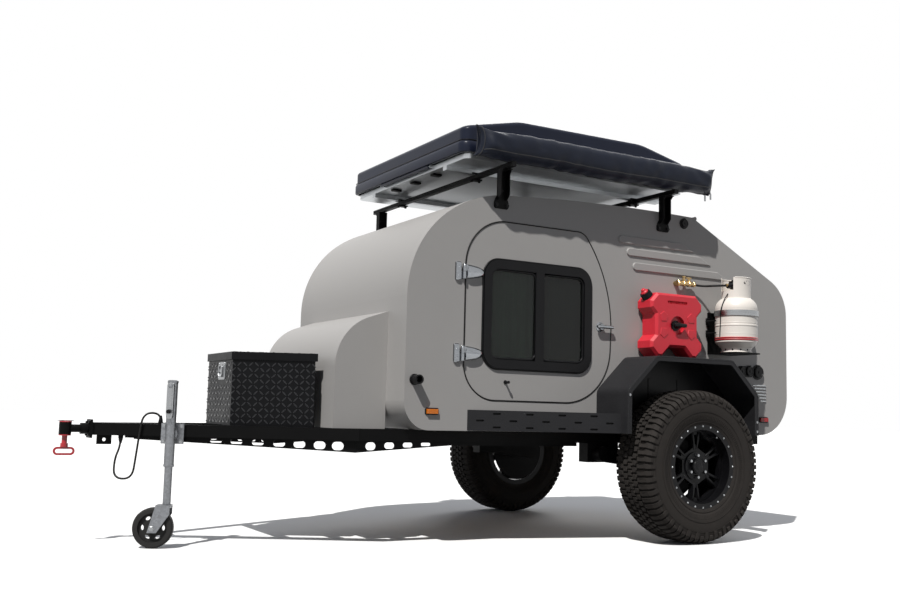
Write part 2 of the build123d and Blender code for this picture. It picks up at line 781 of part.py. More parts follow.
# Jack on the left tongue rail, with its caster
JACK_AXIS_OUT = RAIL / 2 + JACK_PLATE[2] + JACK_PLATE_GAP + JACK_BOSS_T + JACK_R
JACK_AHEAD = TONGUE_REAR + JACK_FOOT * TONGUE_DIR[0] + JACK_AXIS_OUT * TONGUE_OUT[0]
JACK_LEFT = MAIN_RAIL_Y + JACK_FOOT * TONGUE_DIR[1] + JACK_AXIS_OUT * TONGUE_OUT[1]
FORK_TOP = 2 * CASTER_R + FORK_RISE + FORK_T

with BuildPart() as jack_mount:
    with BuildSketch(rail_plane(JACK_FOOT, RAIL / 2, JACK_PIVOT_Z)):
        Rectangle(JACK_PLATE[0], JACK_PLATE[1])
    extrude(amount=JACK_PLATE[2])
    with BuildSketch(rail_plane(JACK_FOOT, RAIL / 2, JACK_PIVOT_Z)):
        Circle(JACK_PIVOT_R)
    extrude(amount=JACK_PLATE[2] + JACK_PLATE_GAP + JACK_BOSS_T - SWIVEL_GAP)

with BuildPart() as jack_tube:
    with Locations(at(JACK_AHEAD, JACK_LEFT, (JACK_BOTTOM + JACK_TOP) / 2)):
        Cylinder(JACK_R, JACK_TOP - JACK_BOTTOM)
    with BuildSketch(rail_plane(JACK_FOOT, RAIL / 2 + JACK_PLATE[2] + JACK_PLATE_GAP, JACK_PIVOT_Z)):
        Circle(JACK_BOSS_R)
    extrude(amount=JACK_BOSS_T + JACK_R)
    with BuildSketch(rail_plane(JACK_FOOT, JACK_AXIS_OUT, CRANK_Z)):
        Circle(CRANK_R)
    extrude(amount=JACK_R + CRANK_OUT)
    with Locations(rail_spot(JACK_FOOT, JACK_AXIS_OUT + CRANK_ARM_OUT, CRANK_Z - CRANK_ARM / 2)):
        Cylinder(CRANK_ARM_R, CRANK_ARM)
    with Locations(at(JACK_AHEAD, JACK_LEFT, (JACK_BOTTOM + JACK_TOP - JACK_CAP) / 2)):
        Cylinder(LEG_R + LEG_FIT, JACK_TOP - JACK_CAP - JACK_BOTTOM, mode=Mode.SUBTRACT)
    with BuildSketch(rail_plane(JACK_FOOT, RAIL / 2 + JACK_PLATE[2] + JACK_PLATE_GAP, JACK_PIVOT_Z)):
        Circle(JACK_PIVOT_R + PIN_FIT)
    extrude(amount=JACK_BOSS_T, mode=Mode.SUBTRACT)

with BuildPart() as jack_leg:
    leg_foot = FORK_TOP + SWIVEL_GAP
    with Locations(at(JACK_AHEAD, JACK_LEFT, (leg_foot + LEG_TOP) / 2)):
        Cylinder(LEG_R, LEG_TOP - leg_foot)
    with Locations(at(JACK_AHEAD, JACK_LEFT, leg_foot + (KINGPIN_LEN + SWIVEL_GAP) / 2)):
        Cylinder(KINGPIN_R + PIN_FIT, KINGPIN_LEN + SWIVEL_GAP, mode=Mode.SUBTRACT)

with BuildPart() as caster_fork:
    fork_out = CASTER_W / 2 + FORK_GAP
    fork_inner = JACK_AXIS_OUT - fork_out - FORK_T
    for plate_out in (JACK_AXIS_OUT + fork_out, fork_inner):
        with BuildSketch(rail_plane(JACK_FOOT, plate_out, 0)):
            with BuildLine():
                Polyline(
                    (FORK_W / 2, FORK_TOP),
                    (FORK_W / 2, FORK_TOP - FORK_W),
                    (FORK_W / 2 - CASTER_TRAIL, CASTER_R - FORK_W / 2),
                    (-FORK_W / 2 - CASTER_TRAIL, CASTER_R - FORK_W / 2),
                    (-FORK_W, FORK_TOP),
                    close=True,
                )
            make_face()
        extrude(amount=FORK_T)
    with BuildSketch(rail_plane(JACK_FOOT, fork_inner, FORK_TOP - FORK_T / 2)):
        with Locations(((FORK_W - FORK_PLATE_L) / 2, 0)):
            Rectangle(FORK_PLATE_L, FORK_T)
    extrude(amount=2 * (fork_out + FORK_T))
    with Locations(at(JACK_AHEAD, JACK_LEFT, FORK_TOP + KINGPIN_LEN / 2)):
        Cylinder(KINGPIN_R, KINGPIN_LEN)
    with BuildSketch(rail_plane(JACK_FOOT, fork_inner, CASTER_R)):
        with Locations((-CASTER_TRAIL, 0)):
            Circle(CASTER_AXLE_R)
    extrude(amount=2 * (fork_out + FORK_T))

with BuildPart() as caster_wheel:
    caster_side = rail_plane(JACK_FOOT, JACK_AXIS_OUT - CASTER_W / 2, CASTER_R)
    with BuildSketch(caster_side):
        with Locations((-CASTER_TRAIL, 0)):
            Circle(CASTER_R)
            Circle(CASTER_RIM_R, mode=Mode.SUBTRACT)
    extrude(amount=CASTER_W)
    fillet(edges().filter_by(GeomType.CIRCLE).group_by(SortBy.RADIUS)[-1], CASTER_W / 5)
    with BuildSketch(rail_plane(JACK_FOOT, JACK_AXIS_OUT - CASTER_WEB_T / 2, CASTER_R)):
        with Locations((-CASTER_TRAIL, 0)):
            Circle(CASTER_RIM_R)
            with PolarLocations(CASTER_SLOT_R, CASTER_SLOTS):
                Ellipse(CASTER_SLOT[1] / 2, CASTER_SLOT[0] / 2, mode=Mode.SUBTRACT)
    extrude(amount=CASTER_WEB_T)
    with BuildSketch(caster_side):
        with Locations((-CASTER_TRAIL, 0)):
            Circle(CASTER_HUB_R)
    extrude(amount=CASTER_W)
    with BuildSketch(caster_side):
        with Locations((-CASTER_TRAIL, 0)):
            Circle(CASTER_AXLE_R + PIN_FIT)
    extrude(amount=CASTER_W, mode=Mode.SUBTRACT)

# Cabin panels: walls with lugs for the hatch's pin, then the strips of the skin between them
with BuildLine():
    SEAM = roof_line()
HATCH_SEAM = SEAM.X
HATCH_PIN_X = HATCH_SEAM - HATCH_PIN_BACK
HATCH_PIN_Z = SEAM.Y - HATCH_PIN_BACK * tan(radians(HATCH_SLOPE_DEG)) + HATCH_PIN_RISE

with BuildPart() as side_left:
    with BuildSketch(side_plane(BODY_HALF)):
        body_outline()
        with Locations((HATCH_PIN_X, HATCH_PIN_Z)):
            Circle(HATCH_BARREL_R)
    extrude(amount=WALL)
    with BuildSketch(side_plane(BODY_HALF)):
        door_outline()
        offset(amount=DOOR_GAP)
    extrude(amount=WALL, mode=Mode.SUBTRACT)
    with BuildSketch(side_plane(BODY_HALF + RIB_PROUD)):
        for front, rear, height in RIBS:
            rake = RIB_H / tan(radians(HATCH_SLOPE_DEG))
            with BuildLine():
                Polyline(
                    (front - RIB_H / 2, height - RIB_H / 2),
                    (front - RIB_H / 2, height + RIB_H / 2),
                    (rear + rake, height + RIB_H / 2),
                    (rear, height - RIB_H / 2),
                    close=True,
                )
            make_face()
            with Locations((front - RIB_H / 2, height)):
                Circle(RIB_H / 2)
    extrude(amount=RIB_PROUD)
    chamfer(faces().sort_by(Axis.Y)[-len(RIBS):].edges(), RIB_EDGE)

with BuildPart() as side_right:
    mirror(side_left.part, about=Plane.XZ)

PANEL_HALF = BODY_HALF - WALL
with BuildPart() as roof_skin:
    with BuildSketch(side_plane(PANEL_HALF)):
        body_outline()
        offset(amount=-SKIN, mode=Mode.SUBTRACT)
        with BuildLine():
            Polyline(
                (HATCH_SEAM, MID_Z),
                (BODY_FRONT - FRONT_TOE_R, MID_Z),
                (BODY_FRONT - FRONT_TOE_R, 0),
                (BODY_FRONT + SKIN, 0),
                (BODY_FRONT + SKIN, CUT_TOP),
                (HATCH_SEAM, CUT_TOP),
                close=True,
            )
        make_face(mode=Mode.INTERSECT)
    extrude(amount=2 * PANEL_HALF)

with BuildPart() as cabin_floor:
    floor_front = BODY_FRONT - FRONT_TOE_R
    floor_rear = REAR_TOE_R - BODY_REAR
    with Locations(at((floor_front + floor_rear) / 2, 0, BODY_BOTTOM + SKIN / 2)):
        Box(floor_front - floor_rear, 2 * PANEL_HALF, SKIN)

with BuildPart() as rear_apron:
    with BuildSketch(side_plane(PANEL_HALF)):
        body_outline()
        offset(amount=-SKIN, mode=Mode.SUBTRACT)
        with BuildLine():
            Polyline(
                (-BODY_REAR - SKIN, 0),
                (REAR_TOE_R - BODY_REAR, 0),
                (REAR_TOE_R - BODY_REAR, HATCH_FOOT_Z),
                (-BODY_REAR - SKIN, HATCH_FOOT_Z),
                close=True,
            )
        make_face(mode=Mode.INTERSECT)
    extrude(amount=2 * PANEL_HALF)

with BuildPart() as bulkhead:
    with BuildSketch(side_plane(PANEL_HALF)):
        body_outline()
        offset(amount=-SKIN)
        with Locations((BULKHEAD_X, CUT_TOP / 2)):
            Rectangle(SKIN, CUT_TOP, mode=Mode.INTERSECT)
    extrude(amount=2 * PANEL_HALF)

with BuildPart() as hatch:
    with BuildSketch(side_plane(PANEL_HALF - HATCH_GAP)):
        body_outline()
        offset(amount=-SKIN, mode=Mode.SUBTRACT)
        with BuildLine():
            Polyline(
                (-BODY_REAR - SKIN, HATCH_FOOT_Z + HATCH_GAP),
                (HATCH_SEAM - HATCH_GAP, HATCH_FOOT_Z + HATCH_GAP),
                (HATCH_SEAM - HATCH_GAP, CUT_TOP),
                (-BODY_REAR - SKIN, CUT_TOP),
                close=True,
            )
        make_face(mode=Mode.INTERSECT)
    extrude(amount=2 * (PANEL_HALF - HATCH_GAP))
    with BuildSketch(side_plane(PANEL_HALF - HATCH_GAP)):
        with Locations((HATCH_PIN_X, HATCH_PIN_Z)):
            Circle(HATCH_BARREL_R)
    extrude(amount=2 * (PANEL_HALF - HATCH_GAP))
    with BuildSketch(side_plane(PANEL_HALF)):
        with Locations((HATCH_PIN_X, HATCH_PIN_Z)):
            Circle(HATCH_PIN_R + PIN_FIT)
    extrude(amount=2 * PANEL_HALF, mode=Mode.SUBTRACT)

with BuildPart() as hatch_pin:
    with BuildSketch(side_plane(PANEL_HALF)):
        with Locations((HATCH_PIN_X, HATCH_PIN_Z)):
            Circle(HATCH_PIN_R)
    extrude(amount=2 * PANEL_HALF)

with BuildPart() as nose_box:
    with BuildSketch(side_plane(NOSE_HALF)):
        nose_outline(0, BODY_FRONT)
    extrude(amount=2 * NOSE_HALF)
    with BuildSketch(side_plane(NOSE_HALF - NOSE_SKIN)):
        nose_outline(NOSE_SKIN, BODY_FRONT)
    extrude(amount=2 * (NOSE_HALF - NOSE_SKIN), mode=Mode.SUBTRACT)

with BuildPart() as mattress:
    mattress_z = BODY_BOTTOM + SKIN + SEAT_GAP + MATTRESS_T / 2
    with Locations(at((MATTRESS_FRONT + MATTRESS_REAR) / 2, 0, mattress_z)):
        Box(MATTRESS_FRONT - MATTRESS_REAR, 2 * MATTRESS_HALF, MATTRESS_T)
    fillet(edges().filter_by(Axis.Z), MATTRESS_T / 2)

# Doors
with BuildPart() as door_left:
    with BuildSketch(side_plane(BODY_HALF)):
        door_outline()
        window_band(-FRAME_LIP, Mode.SUBTRACT)
    extrude(amount=WALL)

with BuildPart() as window_frame_left:
    with BuildSketch(side_plane(BODY_HALF + FRAME_PROUD)):
        window_band(0)
        window_band(-FRAME_BAND, Mode.SUBTRACT)
        with Locations((MULLION_X, WINDOW_Z)):
            Rectangle(MULLION_W, WINDOW_H - 2 * FRAME_BAND)
    extrude(amount=FRAME_PROUD)
    with BuildSketch(side_plane(BODY_HALF)):
        window_band(-FRAME_LIP)
        window_band(-FRAME_BAND, Mode.SUBTRACT)
    extrude(amount=WALL)

with BuildPart() as window_glass_left:
    pane_top = WINDOW_H - 2 * FRAME_BAND - 2 * SEAT_GAP
    window_front = WINDOW_X + WINDOW_W / 2 - FRAME_BAND - SEAT_GAP
    window_rear = WINDOW_X - WINDOW_W / 2 + FRAME_BAND + SEAT_GAP
    front_pane = window_front - MULLION_X + PANE_LAP
    rear_pane = MULLION_X - window_rear + PANE_LAP
    with BuildSketch(side_plane(BODY_HALF - SEAT_GAP)):
        with Locations((window_front - front_pane / 2, WINDOW_Z)):
            RectangleRounded(front_pane, pane_top, WINDOW_R - FRAME_BAND - SEAT_GAP)
    extrude(amount=PANE_T)
    with BuildSketch(side_plane(BODY_HALF - SEAT_GAP - PANE_SET)):
        with Locations((window_rear + rear_pane / 2, WINDOW_Z)):
            RectangleRounded(rear_pane, pane_top, WINDOW_R - FRAME_BAND - SEAT_GAP)
    extrude(amount=PANE_T)

with BuildPart() as curtain_left:
    curtain_x = WINDOW_X + WINDOW_W / 2 - CURTAIN_W / 2
    with Locations(at(curtain_x, PANEL_HALF - SEAT_GAP - CURTAIN_T / 2, WINDOW_Z)):
        Box(CURTAIN_W, CURTAIN_T, CURTAIN_H)

HINGE_Y = BODY_HALF + HINGE_PROUD
with BuildPart() as hinge_leaves:
    for height in HINGE_HEIGHTS:
        with Locations(at(HINGE_X, HINGE_Y, height - KNUCKLE_LEN / 2)):
            Cylinder(KNUCKLE_R, KNUCKLE_LEN)
        with Locations(at(HINGE_X, HINGE_Y, height + KNUCKLE_LEN / 2)):
            Cylinder(PIN_R, KNUCKLE_LEN)
        with Locations(at(HINGE_X + LEAF_REACH / 2, BODY_HALF + STRAP_T / 2, height - KNUCKLE_LEN / 2)):
            Box(LEAF_REACH, STRAP_T, KNUCKLE_LEN)
    mirror(about=Plane.XZ)

with BuildPart() as door_fittings_left:
    for height in HINGE_HEIGHTS:
        knuckle = KNUCKLE_LEN - KNUCKLE_GAP
        middle = height + KNUCKLE_GAP + knuckle / 2
        with Locations(at(HINGE_X, HINGE_Y, middle)):
            Cylinder(KNUCKLE_R, knuckle)
        with Locations(at(HINGE_X - STRAP_REACH / 2, BODY_HALF + SEAT_GAP + STRAP_T / 2, middle)):
            Box(STRAP_REACH, STRAP_T, knuckle)
        with Locations(at(HINGE_X, HINGE_Y, middle)):
            Cylinder(PIN_R + PIN_FIT, knuckle, mode=Mode.SUBTRACT)
    with BuildSketch(side_plane(BODY_HALF + HANDLE_STEM)):
        with Locations((HANDLE_X, HANDLE_Z)):
            Circle(HANDLE_R)
    extrude(amount=HANDLE_STEM)
    with Locations(at(HANDLE_X - HANDLE_BAR_BACK, BODY_HALF + HANDLE_STEM + HANDLE_BAR[1] / 2, HANDLE_Z)):
        Box(*HANDLE_BAR)

RIGHT_DOOR = {}
for name, piece in (
    ("door_right", door_left),
    ("window_frame_right", window_frame_left),
    ("window_glass_right", window_glass_left),
    ("curtain_right", curtain_left),
    ("door_fittings_right", door_fittings_left),
):
    with BuildPart() as mirrored:
        mirror(piece.part, about=Plane.XZ)
    RIGHT_DOOR[name] = mirrored

# Fenders and side steps
with BuildPart() as fenders:
    with BuildSketch(side_plane(FENDER_Y)):
        fender_band(FENDER_T)
    extrude(amount=FENDER_Y - BODY_HALF)
    with BuildSketch(side_plane(FENDER_Y)):
        fender_band(LIP_W)
    extrude(amount=FENDER_T)
    mirror(about=Plane.XZ)

STEP_RUN = STEP_FRONT - FENDER_HALF
STEP_LEN = sqrt(STEP_RUN**2 + STEP_OUT**2)
with BuildPart() as side_steps:
    with BuildSketch(plan_plane(STEP_BOTTOM)):
        with BuildLine():
            Polyline((STEP_FRONT, BODY_HALF), (FENDER_HALF, STEP_Y), (FENDER_HALF, BODY_HALF), close=True)
        make_face()
    extrude(amount=STEP_TOP - STEP_BOTTOM)
    inner_x = STEP_T * STEP_LEN / STEP_OUT
    inner_y = STEP_T * STEP_LEN / STEP_RUN
    with BuildSketch(plan_plane(STEP_BOTTOM)):
        with BuildLine():
            Polyline(
                (STEP_FRONT - inner_x, BODY_HALF),
                (FENDER_HALF, STEP_Y - inner_y),
                (FENDER_HALF, BODY_HALF),
                close=True,
            )
        make_face()
    extrude(amount=STEP_TOP - STEP_BOTTOM - STEP_T, mode=Mode.SUBTRACT)
    step_face = Plane(
        origin=at(STEP_FRONT, BODY_HALF, STEP_TOP),
        x_dir=(-STEP_RUN / STEP_LEN, STEP_OUT / STEP_LEN, 0),
        z_dir=(STEP_OUT / STEP_LEN, STEP_RUN / STEP_LEN, 0),
    )
    with BuildSketch(step_face):
        for depth, start in STEP_ROWS:
            for count in range(STEP_SLOTS):
                along = STEP_SLOT_FIRST + (count + start) * STEP_SLOT_PITCH
                if along + STEP_SLOT[0] < STEP_LEN:
                    with Locations((along, -depth)):
                        SlotOverall(*STEP_SLOT)
    extrude(amount=-2 * STEP_T, mode=Mode.SUBTRACT)
    mirror(about=Plane.XZ)

# Toolbox on the tongue: box, and lid hinged at its rear
LID_FOOT = BOX_TOP + LID_GAP
LID_PIN_X = BOX_REAR - LID_PIN_BACK
LID_PIN_Z = LID_FOOT + LID_H - LID_BARREL_R
with BuildPart() as toolbox:
    with BuildSketch(plan_plane(BODY_BOTTOM)):
        with BuildLine():
            Polyline(
                (BOX_FRONT, BOX_FRONT_HALF),
                (BOX_FRONT, -BOX_FRONT_HALF),
                (BOX_REAR, -BOX_REAR_HALF),
                (BOX_REAR, BOX_REAR_HALF),
                close=True,
            )
        make_face()
    extrude(amount=BOX_TOP - BODY_BOTTOM)
    offset(amount=-BOX_WALL, openings=faces().sort_by(Axis.Z)[-1])
    ear_y = LID_BARREL_LEN / 2 + SWIVEL_GAP + LID_EAR_T / 2
    for side in (-1, 1):
        with BuildSketch(side_plane(side * ear_y + LID_EAR_T / 2)):
            with BuildLine():
                Polyline(
                    (BOX_REAR, BOX_TOP - LID_EAR_DROP),
                    (BOX_REAR, BOX_TOP - LID_EAR_STEP),
                    (LID_PIN_X + LID_BARREL_R, BOX_TOP - LID_EAR_STEP),
                    (LID_PIN_X + LID_BARREL_R, LID_PIN_Z + LID_BARREL_R),
                    (LID_PIN_X - LID_BARREL_R, LID_PIN_Z + LID_BARREL_R),
                    (LID_PIN_X - LID_BARREL_R, BOX_TOP - LID_EAR_DROP),
                    close=True,
                )
            make_face()
        extrude(amount=LID_EAR_T)
    with BuildSketch(side_plane(ear_y)):
        with Locations((LID_PIN_X, LID_PIN_Z)):
            Circle(LID_PIN_R)
    extrude(amount=2 * ear_y)

with BuildPart() as toolbox_lid:
    with BuildSketch(plan_plane(LID_FOOT)):
        with BuildLine():
            Polyline(
                (BOX_FRONT, BOX_FRONT_HALF),
                (BOX_FRONT, -BOX_FRONT_HALF),
                (BOX_REAR, -BOX_REAR_HALF),
                (BOX_REAR, BOX_REAR_HALF),
                close=True,
            )
        make_face()
        offset(amount=LID_OVER, kind=Kind.INTERSECTION)
    extrude(amount=LID_H)
    offset(amount=-LID_WALL, openings=faces().sort_by(Axis.Z)[0])
    web = LID_PIN_BACK - LID_OVER + LID_WALL
    with Locations(at(LID_PIN_X, 0, LID_PIN_Z)):
        Cylinder(LID_BARREL_R, LID_BARREL_LEN, rotation=(90, 0, 0))
    with Locations(at(LID_PIN_X + web / 2, 0, LID_PIN_Z + LID_BARREL_R / 2)):
        Box(web, LID_BARREL_LEN, LID_BARREL_R)
    with Locations(at(LID_PIN_X, 0, LID_PIN_Z)):
        Cylinder(LID_PIN_R + PIN_FIT, LID_BARREL_LEN, rotation=(90, 0, 0), mode=Mode.SUBTRACT)

# Roof rack, tent and awning
with BuildPart() as roof_rack:
    bracket_h = BAR_TOP - BAR_H - BRACKET_BOTTOM
    for bar_x in BAR_X:
        with Locations(at(bar_x, 0, BAR_TOP - BAR_H / 2)):
            Box(BAR_W, 2 * BAR_HALF, BAR_H)
        for side in (-1, 1):
            bracket_y = side * (BODY_HALF + BRACKET_T / 2)
            with Locations(at(bar_x, bracket_y, BRACKET_BOTTOM + bracket_h / 2)):
                Box(BRACKET_W, BRACKET_T, bracket_h)

TENT_PIN_Z = TENT_BASE_Z + TENT_BASE_T - TENT_PIN_DROP
with BuildPart() as tent_base:
    base_front = TENT_FRONT - TENT_BASE_INSET - TENT_BARREL_R
    base_rear = TENT_REAR + TENT_BASE_INSET
    base_mid = (base_front + base_rear) / 2
    with Locations(at(base_mid, 0, TENT_BASE_Z + TENT_BASE_T / 2)):
        Box(base_front - base_rear, 2 * (TENT_HALF - TENT_BASE_INSET), TENT_BASE_T)
    fillet(edges().filter_by(Axis.Z), TENT_SHELL_R - TENT_BASE_INSET)
    for side in (-1, 1):
        with Locations(at(base_mid, side * TENT_RAIL_Y, (BAR_TOP + TENT_BASE_Z) / 2)):
            Box(base_front - base_rear, TENT_RAIL_W, TENT_BASE_Z - BAR_TOP)
        ear_y = side * (TENT_BARREL_HALF + SWIVEL_GAP + TENT_EAR_T / 2)
        with Locations(at((base_front + TENT_PIN_X) / 2, ear_y, TENT_PIN_Z)):
            Box(TENT_PIN_X - base_front, TENT_EAR_T, 2 * TENT_PIN_DROP)
    with BuildSketch(side_plane(TENT_BARREL_HALF + SWIVEL_GAP + TENT_EAR_T)):
        with Locations((TENT_PIN_X, TENT_PIN_Z)):
            Circle(TENT_PIN_R)
    extrude(amount=2 * (TENT_BARREL_HALF + SWIVEL_GAP + TENT_EAR_T))

TENT_FOOT = TENT_BASE_Z + TENT_BASE_T + LID_GAP
with BuildPart() as tent_shell:
    with BuildSketch(side_plane(TENT_HALF)):
        with BuildLine():
            Polyline((TENT_FRONT, TENT_FOOT), *TENT_ROOF, (TENT_REAR, TENT_FOOT), close=True)
        make_face()
        fillet(vertices().sort_by(Axis.Y)[-2:], TENT_BEND_R)
    extrude(amount=2 * TENT_HALF)
    fillet(edges().filter_by(Axis.Z), TENT_SHELL_R)
    fillet(faces().filter_by(Axis.Z, reverse=True).sort_by(Axis.Z)[-1].edges(), TENT_CROWN_R)
    offset(amount=-TENT_SHELL_T, openings=faces().sort_by(Axis.Z)[0])
    with Locations(at(TENT_PIN_X, 0, TENT_PIN_Z)):
        Cylinder(TENT_BARREL_R, 2 * TENT_BARREL_HALF, rotation=(90, 0, 0))
        Cylinder(TENT_PIN_R + PIN_FIT, 2 * TENT_BARREL_HALF, rotation=(90, 0, 0), mode=Mode.SUBTRACT)

with BuildPart() as tent_bedding:
    bedding_z = TENT_BASE_Z + TENT_BASE_T + SEAT_GAP + BEDDING_T / 2
    with Locations(at(base_mid, 0, bedding_z)):
        Box(base_front - base_rear - 2 * BEDDING_INSET, 2 * (TENT_HALF - BEDDING_INSET), BEDDING_T)

with BuildPart() as awning_bag:
    with BuildSketch(cross_plane(AWNING_REAR)):
        with Locations((AWNING_Y, BAR_TOP + SEAT_GAP + AWNING_H / 2)):
            RectangleRounded(AWNING_D, AWNING_H, AWNING_R)
    extrude(amount=AWNING_FRONT - AWNING_REAR)

# Fuel can on the left wall, above the fender
CAN_BACK = BODY_HALF + CAN_OUT
CAN_FACE = CAN_BACK + CAN_T
with BuildPart() as fuel_can:
    with BuildSketch(side_plane(CAN_FACE)):
        with Locations((CAN_X, CAN_Z)):
            Rectangle(CAN_W, CAN_H)
        chamfer(vertices(), CAN_CHAMFER)
        for across, up, turn, notch in (
            (CAN_W / 2, 0, 90, CAN_SIDE_NOTCH),
            (-CAN_W / 2, 0, -90, CAN_SIDE_NOTCH),
            (0, -CAN_H / 2, 0, CAN_FOOT_NOTCH),
        ):
            with Locations(Location((CAN_X + across, CAN_Z + up, 0), (0, 0, 1), turn)):
                Trapezoid(*notch, 45, align=(Align.CENTER, Align.MIN), mode=Mode.SUBTRACT)
    extrude(amount=CAN_T)
    chamfer(faces().sort_by(Axis.Y)[-1].edges(), CAN_EDGE)
    with BuildSketch(side_plane(CAN_FACE)):
        with Locations((CAN_X, CAN_Z)):
            Circle(CAN_DISH_R)
    extrude(amount=CAN_DISH, mode=Mode.SUBTRACT)
    with BuildSketch(side_plane(CAN_FACE)):
        with Locations((CAN_X, CAN_Z + CAN_SLOT_RISE)):
            SlotOverall(*CAN_SLOT)
    extrude(amount=CAN_SLOT_DEPTH, mode=Mode.SUBTRACT)
    with BuildSketch(side_plane(CAN_FACE)):
        with Locations((CAN_X, CAN_Z)):
            Circle(CAN_KNOB_R)
    extrude(amount=CAN_T, mode=Mode.SUBTRACT)

with BuildPart() as can_fittings:
    with Locations(at(CAN_X, BODY_HALF + CAN_OUT / 2, CAN_Z)):
        Box(CAN_PLATE[0], CAN_OUT, CAN_PLATE[1])
    with BuildSketch(side_plane(CAN_FACE + CAN_KNOB_H)):
        with Locations((CAN_X, CAN_Z)):
            Circle(CAN_KNOB_R - SEAT_GAP)
    extrude(amount=CAN_T + CAN_KNOB_H)
    with Locations(at(CAN_X, CAN_FACE + CAN_KNOB_H + CAN_TEE[1] / 2, CAN_Z)):
        Box(*CAN_TEE)
    cap_seat = at(
        CAN_X + (CAN_W - CAN_CHAMFER) / 2,
        CAN_BACK + CAN_T / 2,
        CAN_Z + (CAN_H - CAN_CHAMFER) / 2,
    )
    with BuildSketch(Plane(origin=cap_seat, x_dir=(0, 1, 0), z_dir=(1, 0, 1))):
        Circle(CAN_CAP_R)
    extrude(amount=CAN_CAP_H)

# Gas cylinder on its shelf behind the can
GAS_Y = BODY_HALF + GAS_OUT + GAS_R
with BuildPart() as gas_cylinder:
    with BuildSketch(Plane(origin=at(GAS_X, GAS_Y, 0), x_dir=(1, 0, 0), z_dir=(0, -1, 0))):
        with BuildLine():
            Polyline((0, GAS_BOTTOM + GAS_FOOT_H), (GAS_FOOT_R - COLLAR_T, GAS_BOTTOM + GAS_FOOT_H))
            Polyline(
                (GAS_FOOT_R - COLLAR_T, GAS_BOTTOM + GAS_FOOT_H),
                (GAS_FOOT_R - COLLAR_T, GAS_BOTTOM),
                (GAS_FOOT_R, GAS_BOTTOM),
                (GAS_FOOT_R, GAS_BOTTOM + GAS_FOOT_H),
                (GAS_R, GAS_BELLY_LOW),
                (GAS_R, GAS_BELLY_TOP),
            )
            ThreePointArc(
                (GAS_R, GAS_BELLY_TOP),
                ((GAS_R + COLLAR_R) / 2 + COLLAR_T, (GAS_BELLY_TOP + GAS_SHOULDER) / 2 + COLLAR_T),
                (GAS_NECK_R, GAS_SHOULDER),
            )
            Polyline((GAS_NECK_R, GAS_SHOULDER), (0, GAS_SHOULDER), (0, GAS_BOTTOM + GAS_FOOT_H))
        make_face()
    revolve(axis=Axis(at(GAS_X, GAS_Y, 0), (0, 0, 1)))
    with BuildSketch(plan_plane(GAS_BELLY_TOP)):
        with Locations((GAS_X, GAS_Y)):
            Circle(COLLAR_R)
            Circle(COLLAR_R - COLLAR_T, mode=Mode.SUBTRACT)
    extrude(amount=COLLAR_TOP - GAS_BELLY_TOP)
    with Locations(at(GAS_X + COLLAR_R, GAS_Y, (GAS_SHOULDER + COLLAR_TOP) / 2 + VALVE_R)):
        Box(COLLAR_R, COLLAR_GAP_W, COLLAR_TOP - GAS_SHOULDER - 2 * VALVE_R, mode=Mode.SUBTRACT)

with BuildPart() as gas_bracket:
    shelf_depth = GAS_Y - BODY_HALF + SHELF_HALF
    with Locations(at(GAS_X, BODY_HALF + shelf_depth / 2, GAS_BOTTOM - SHELF_T / 2)):
        Box(2 * SHELF_HALF, shelf_depth, SHELF_T)
    plate_h = STRAP_Z + STRAP_H - GAS_BOTTOM
    with Locations(at(GAS_X, BODY_HALF + BACK_PLATE_T / 2, GAS_BOTTOM + plate_h / 2)):
        Box(2 * SHELF_HALF, BACK_PLATE_T, plate_h)
    with BuildSketch(plan_plane(STRAP_Z)):
        with Locations((GAS_X, GAS_Y)):
            Circle(GAS_R + SEAT_GAP + STRAP_RING_T)
        with Locations((GAS_X, BODY_HALF + GAS_OUT)):
            Rectangle(SHELF_HALF, 2 * GAS_OUT)
        with Locations((GAS_X, GAS_Y)):
            Circle(GAS_R + SEAT_GAP, mode=Mode.SUBTRACT)
    extrude(amount=STRAP_H)

VALVE_Z = GAS_SHOULDER + VALVE_H
with BuildPart() as gas_fittings:
    with Locations(at(GAS_X, GAS_Y, GAS_SHOULDER + VALVE_H / 2 + VALVE_R / 2)):
        Cylinder(VALVE_R, VALVE_H + VALVE_R)
    with BuildSketch(cross_plane(GAS_X)):
        with Locations((GAS_Y, VALVE_Z)):
            Circle(VALVE_R - SEAT_GAP)
    extrude(amount=VALVE_ARM)
    with BuildSketch(side_plane(BODY_HALF + WALL_ELBOW_OUT)):
        with Locations((WALL_ELBOW_X, VALVE_Z)):
            Circle(WALL_ELBOW_R)
    extrude(amount=WALL_ELBOW_OUT)
    with BuildSketch(cross_plane(WALL_ELBOW_X - WALL_ELBOW_LEN)):
        with Locations((BODY_HALF + WALL_ELBOW_OUT, VALVE_Z)):
            Circle(WALL_ELBOW_R - SEAT_GAP)
    extrude(amount=WALL_ELBOW_LEN)

HOSE_START = (WALL_ELBOW_X - WALL_ELBOW_LEN, BODY_HALF + WALL_ELBOW_OUT)
HOSE_BEND_R = (GAS_Y - HOSE_START[1]) / 2
with BuildPart() as gas_hose:
    with BuildLine(plan_plane(VALVE_Z)):
        out = JernArc(start=HOSE_START, tangent=(-1, 0), radius=HOSE_BEND_R, arc_size=-90)
        back = JernArc(start=out @ 1, tangent=(0, 1), radius=HOSE_BEND_R, arc_size=90)
        Line(back @ 1, (GAS_X + VALVE_ARM, GAS_Y))
    with BuildSketch(Plane(origin=at(HOSE_START[0], HOSE_START[1], VALVE_Z), z_dir=(-1, 0, 0))):
        Circle(HOSE_R)
    sweep()

# Lamps and ports
with BuildPart() as amber_lamps:
    with Locations(at(MARKER_X, BODY_HALF + MARKER[1] / 2, MARKER_Z)):
        Box(*MARKER)
    mirror(about=Plane.XZ)

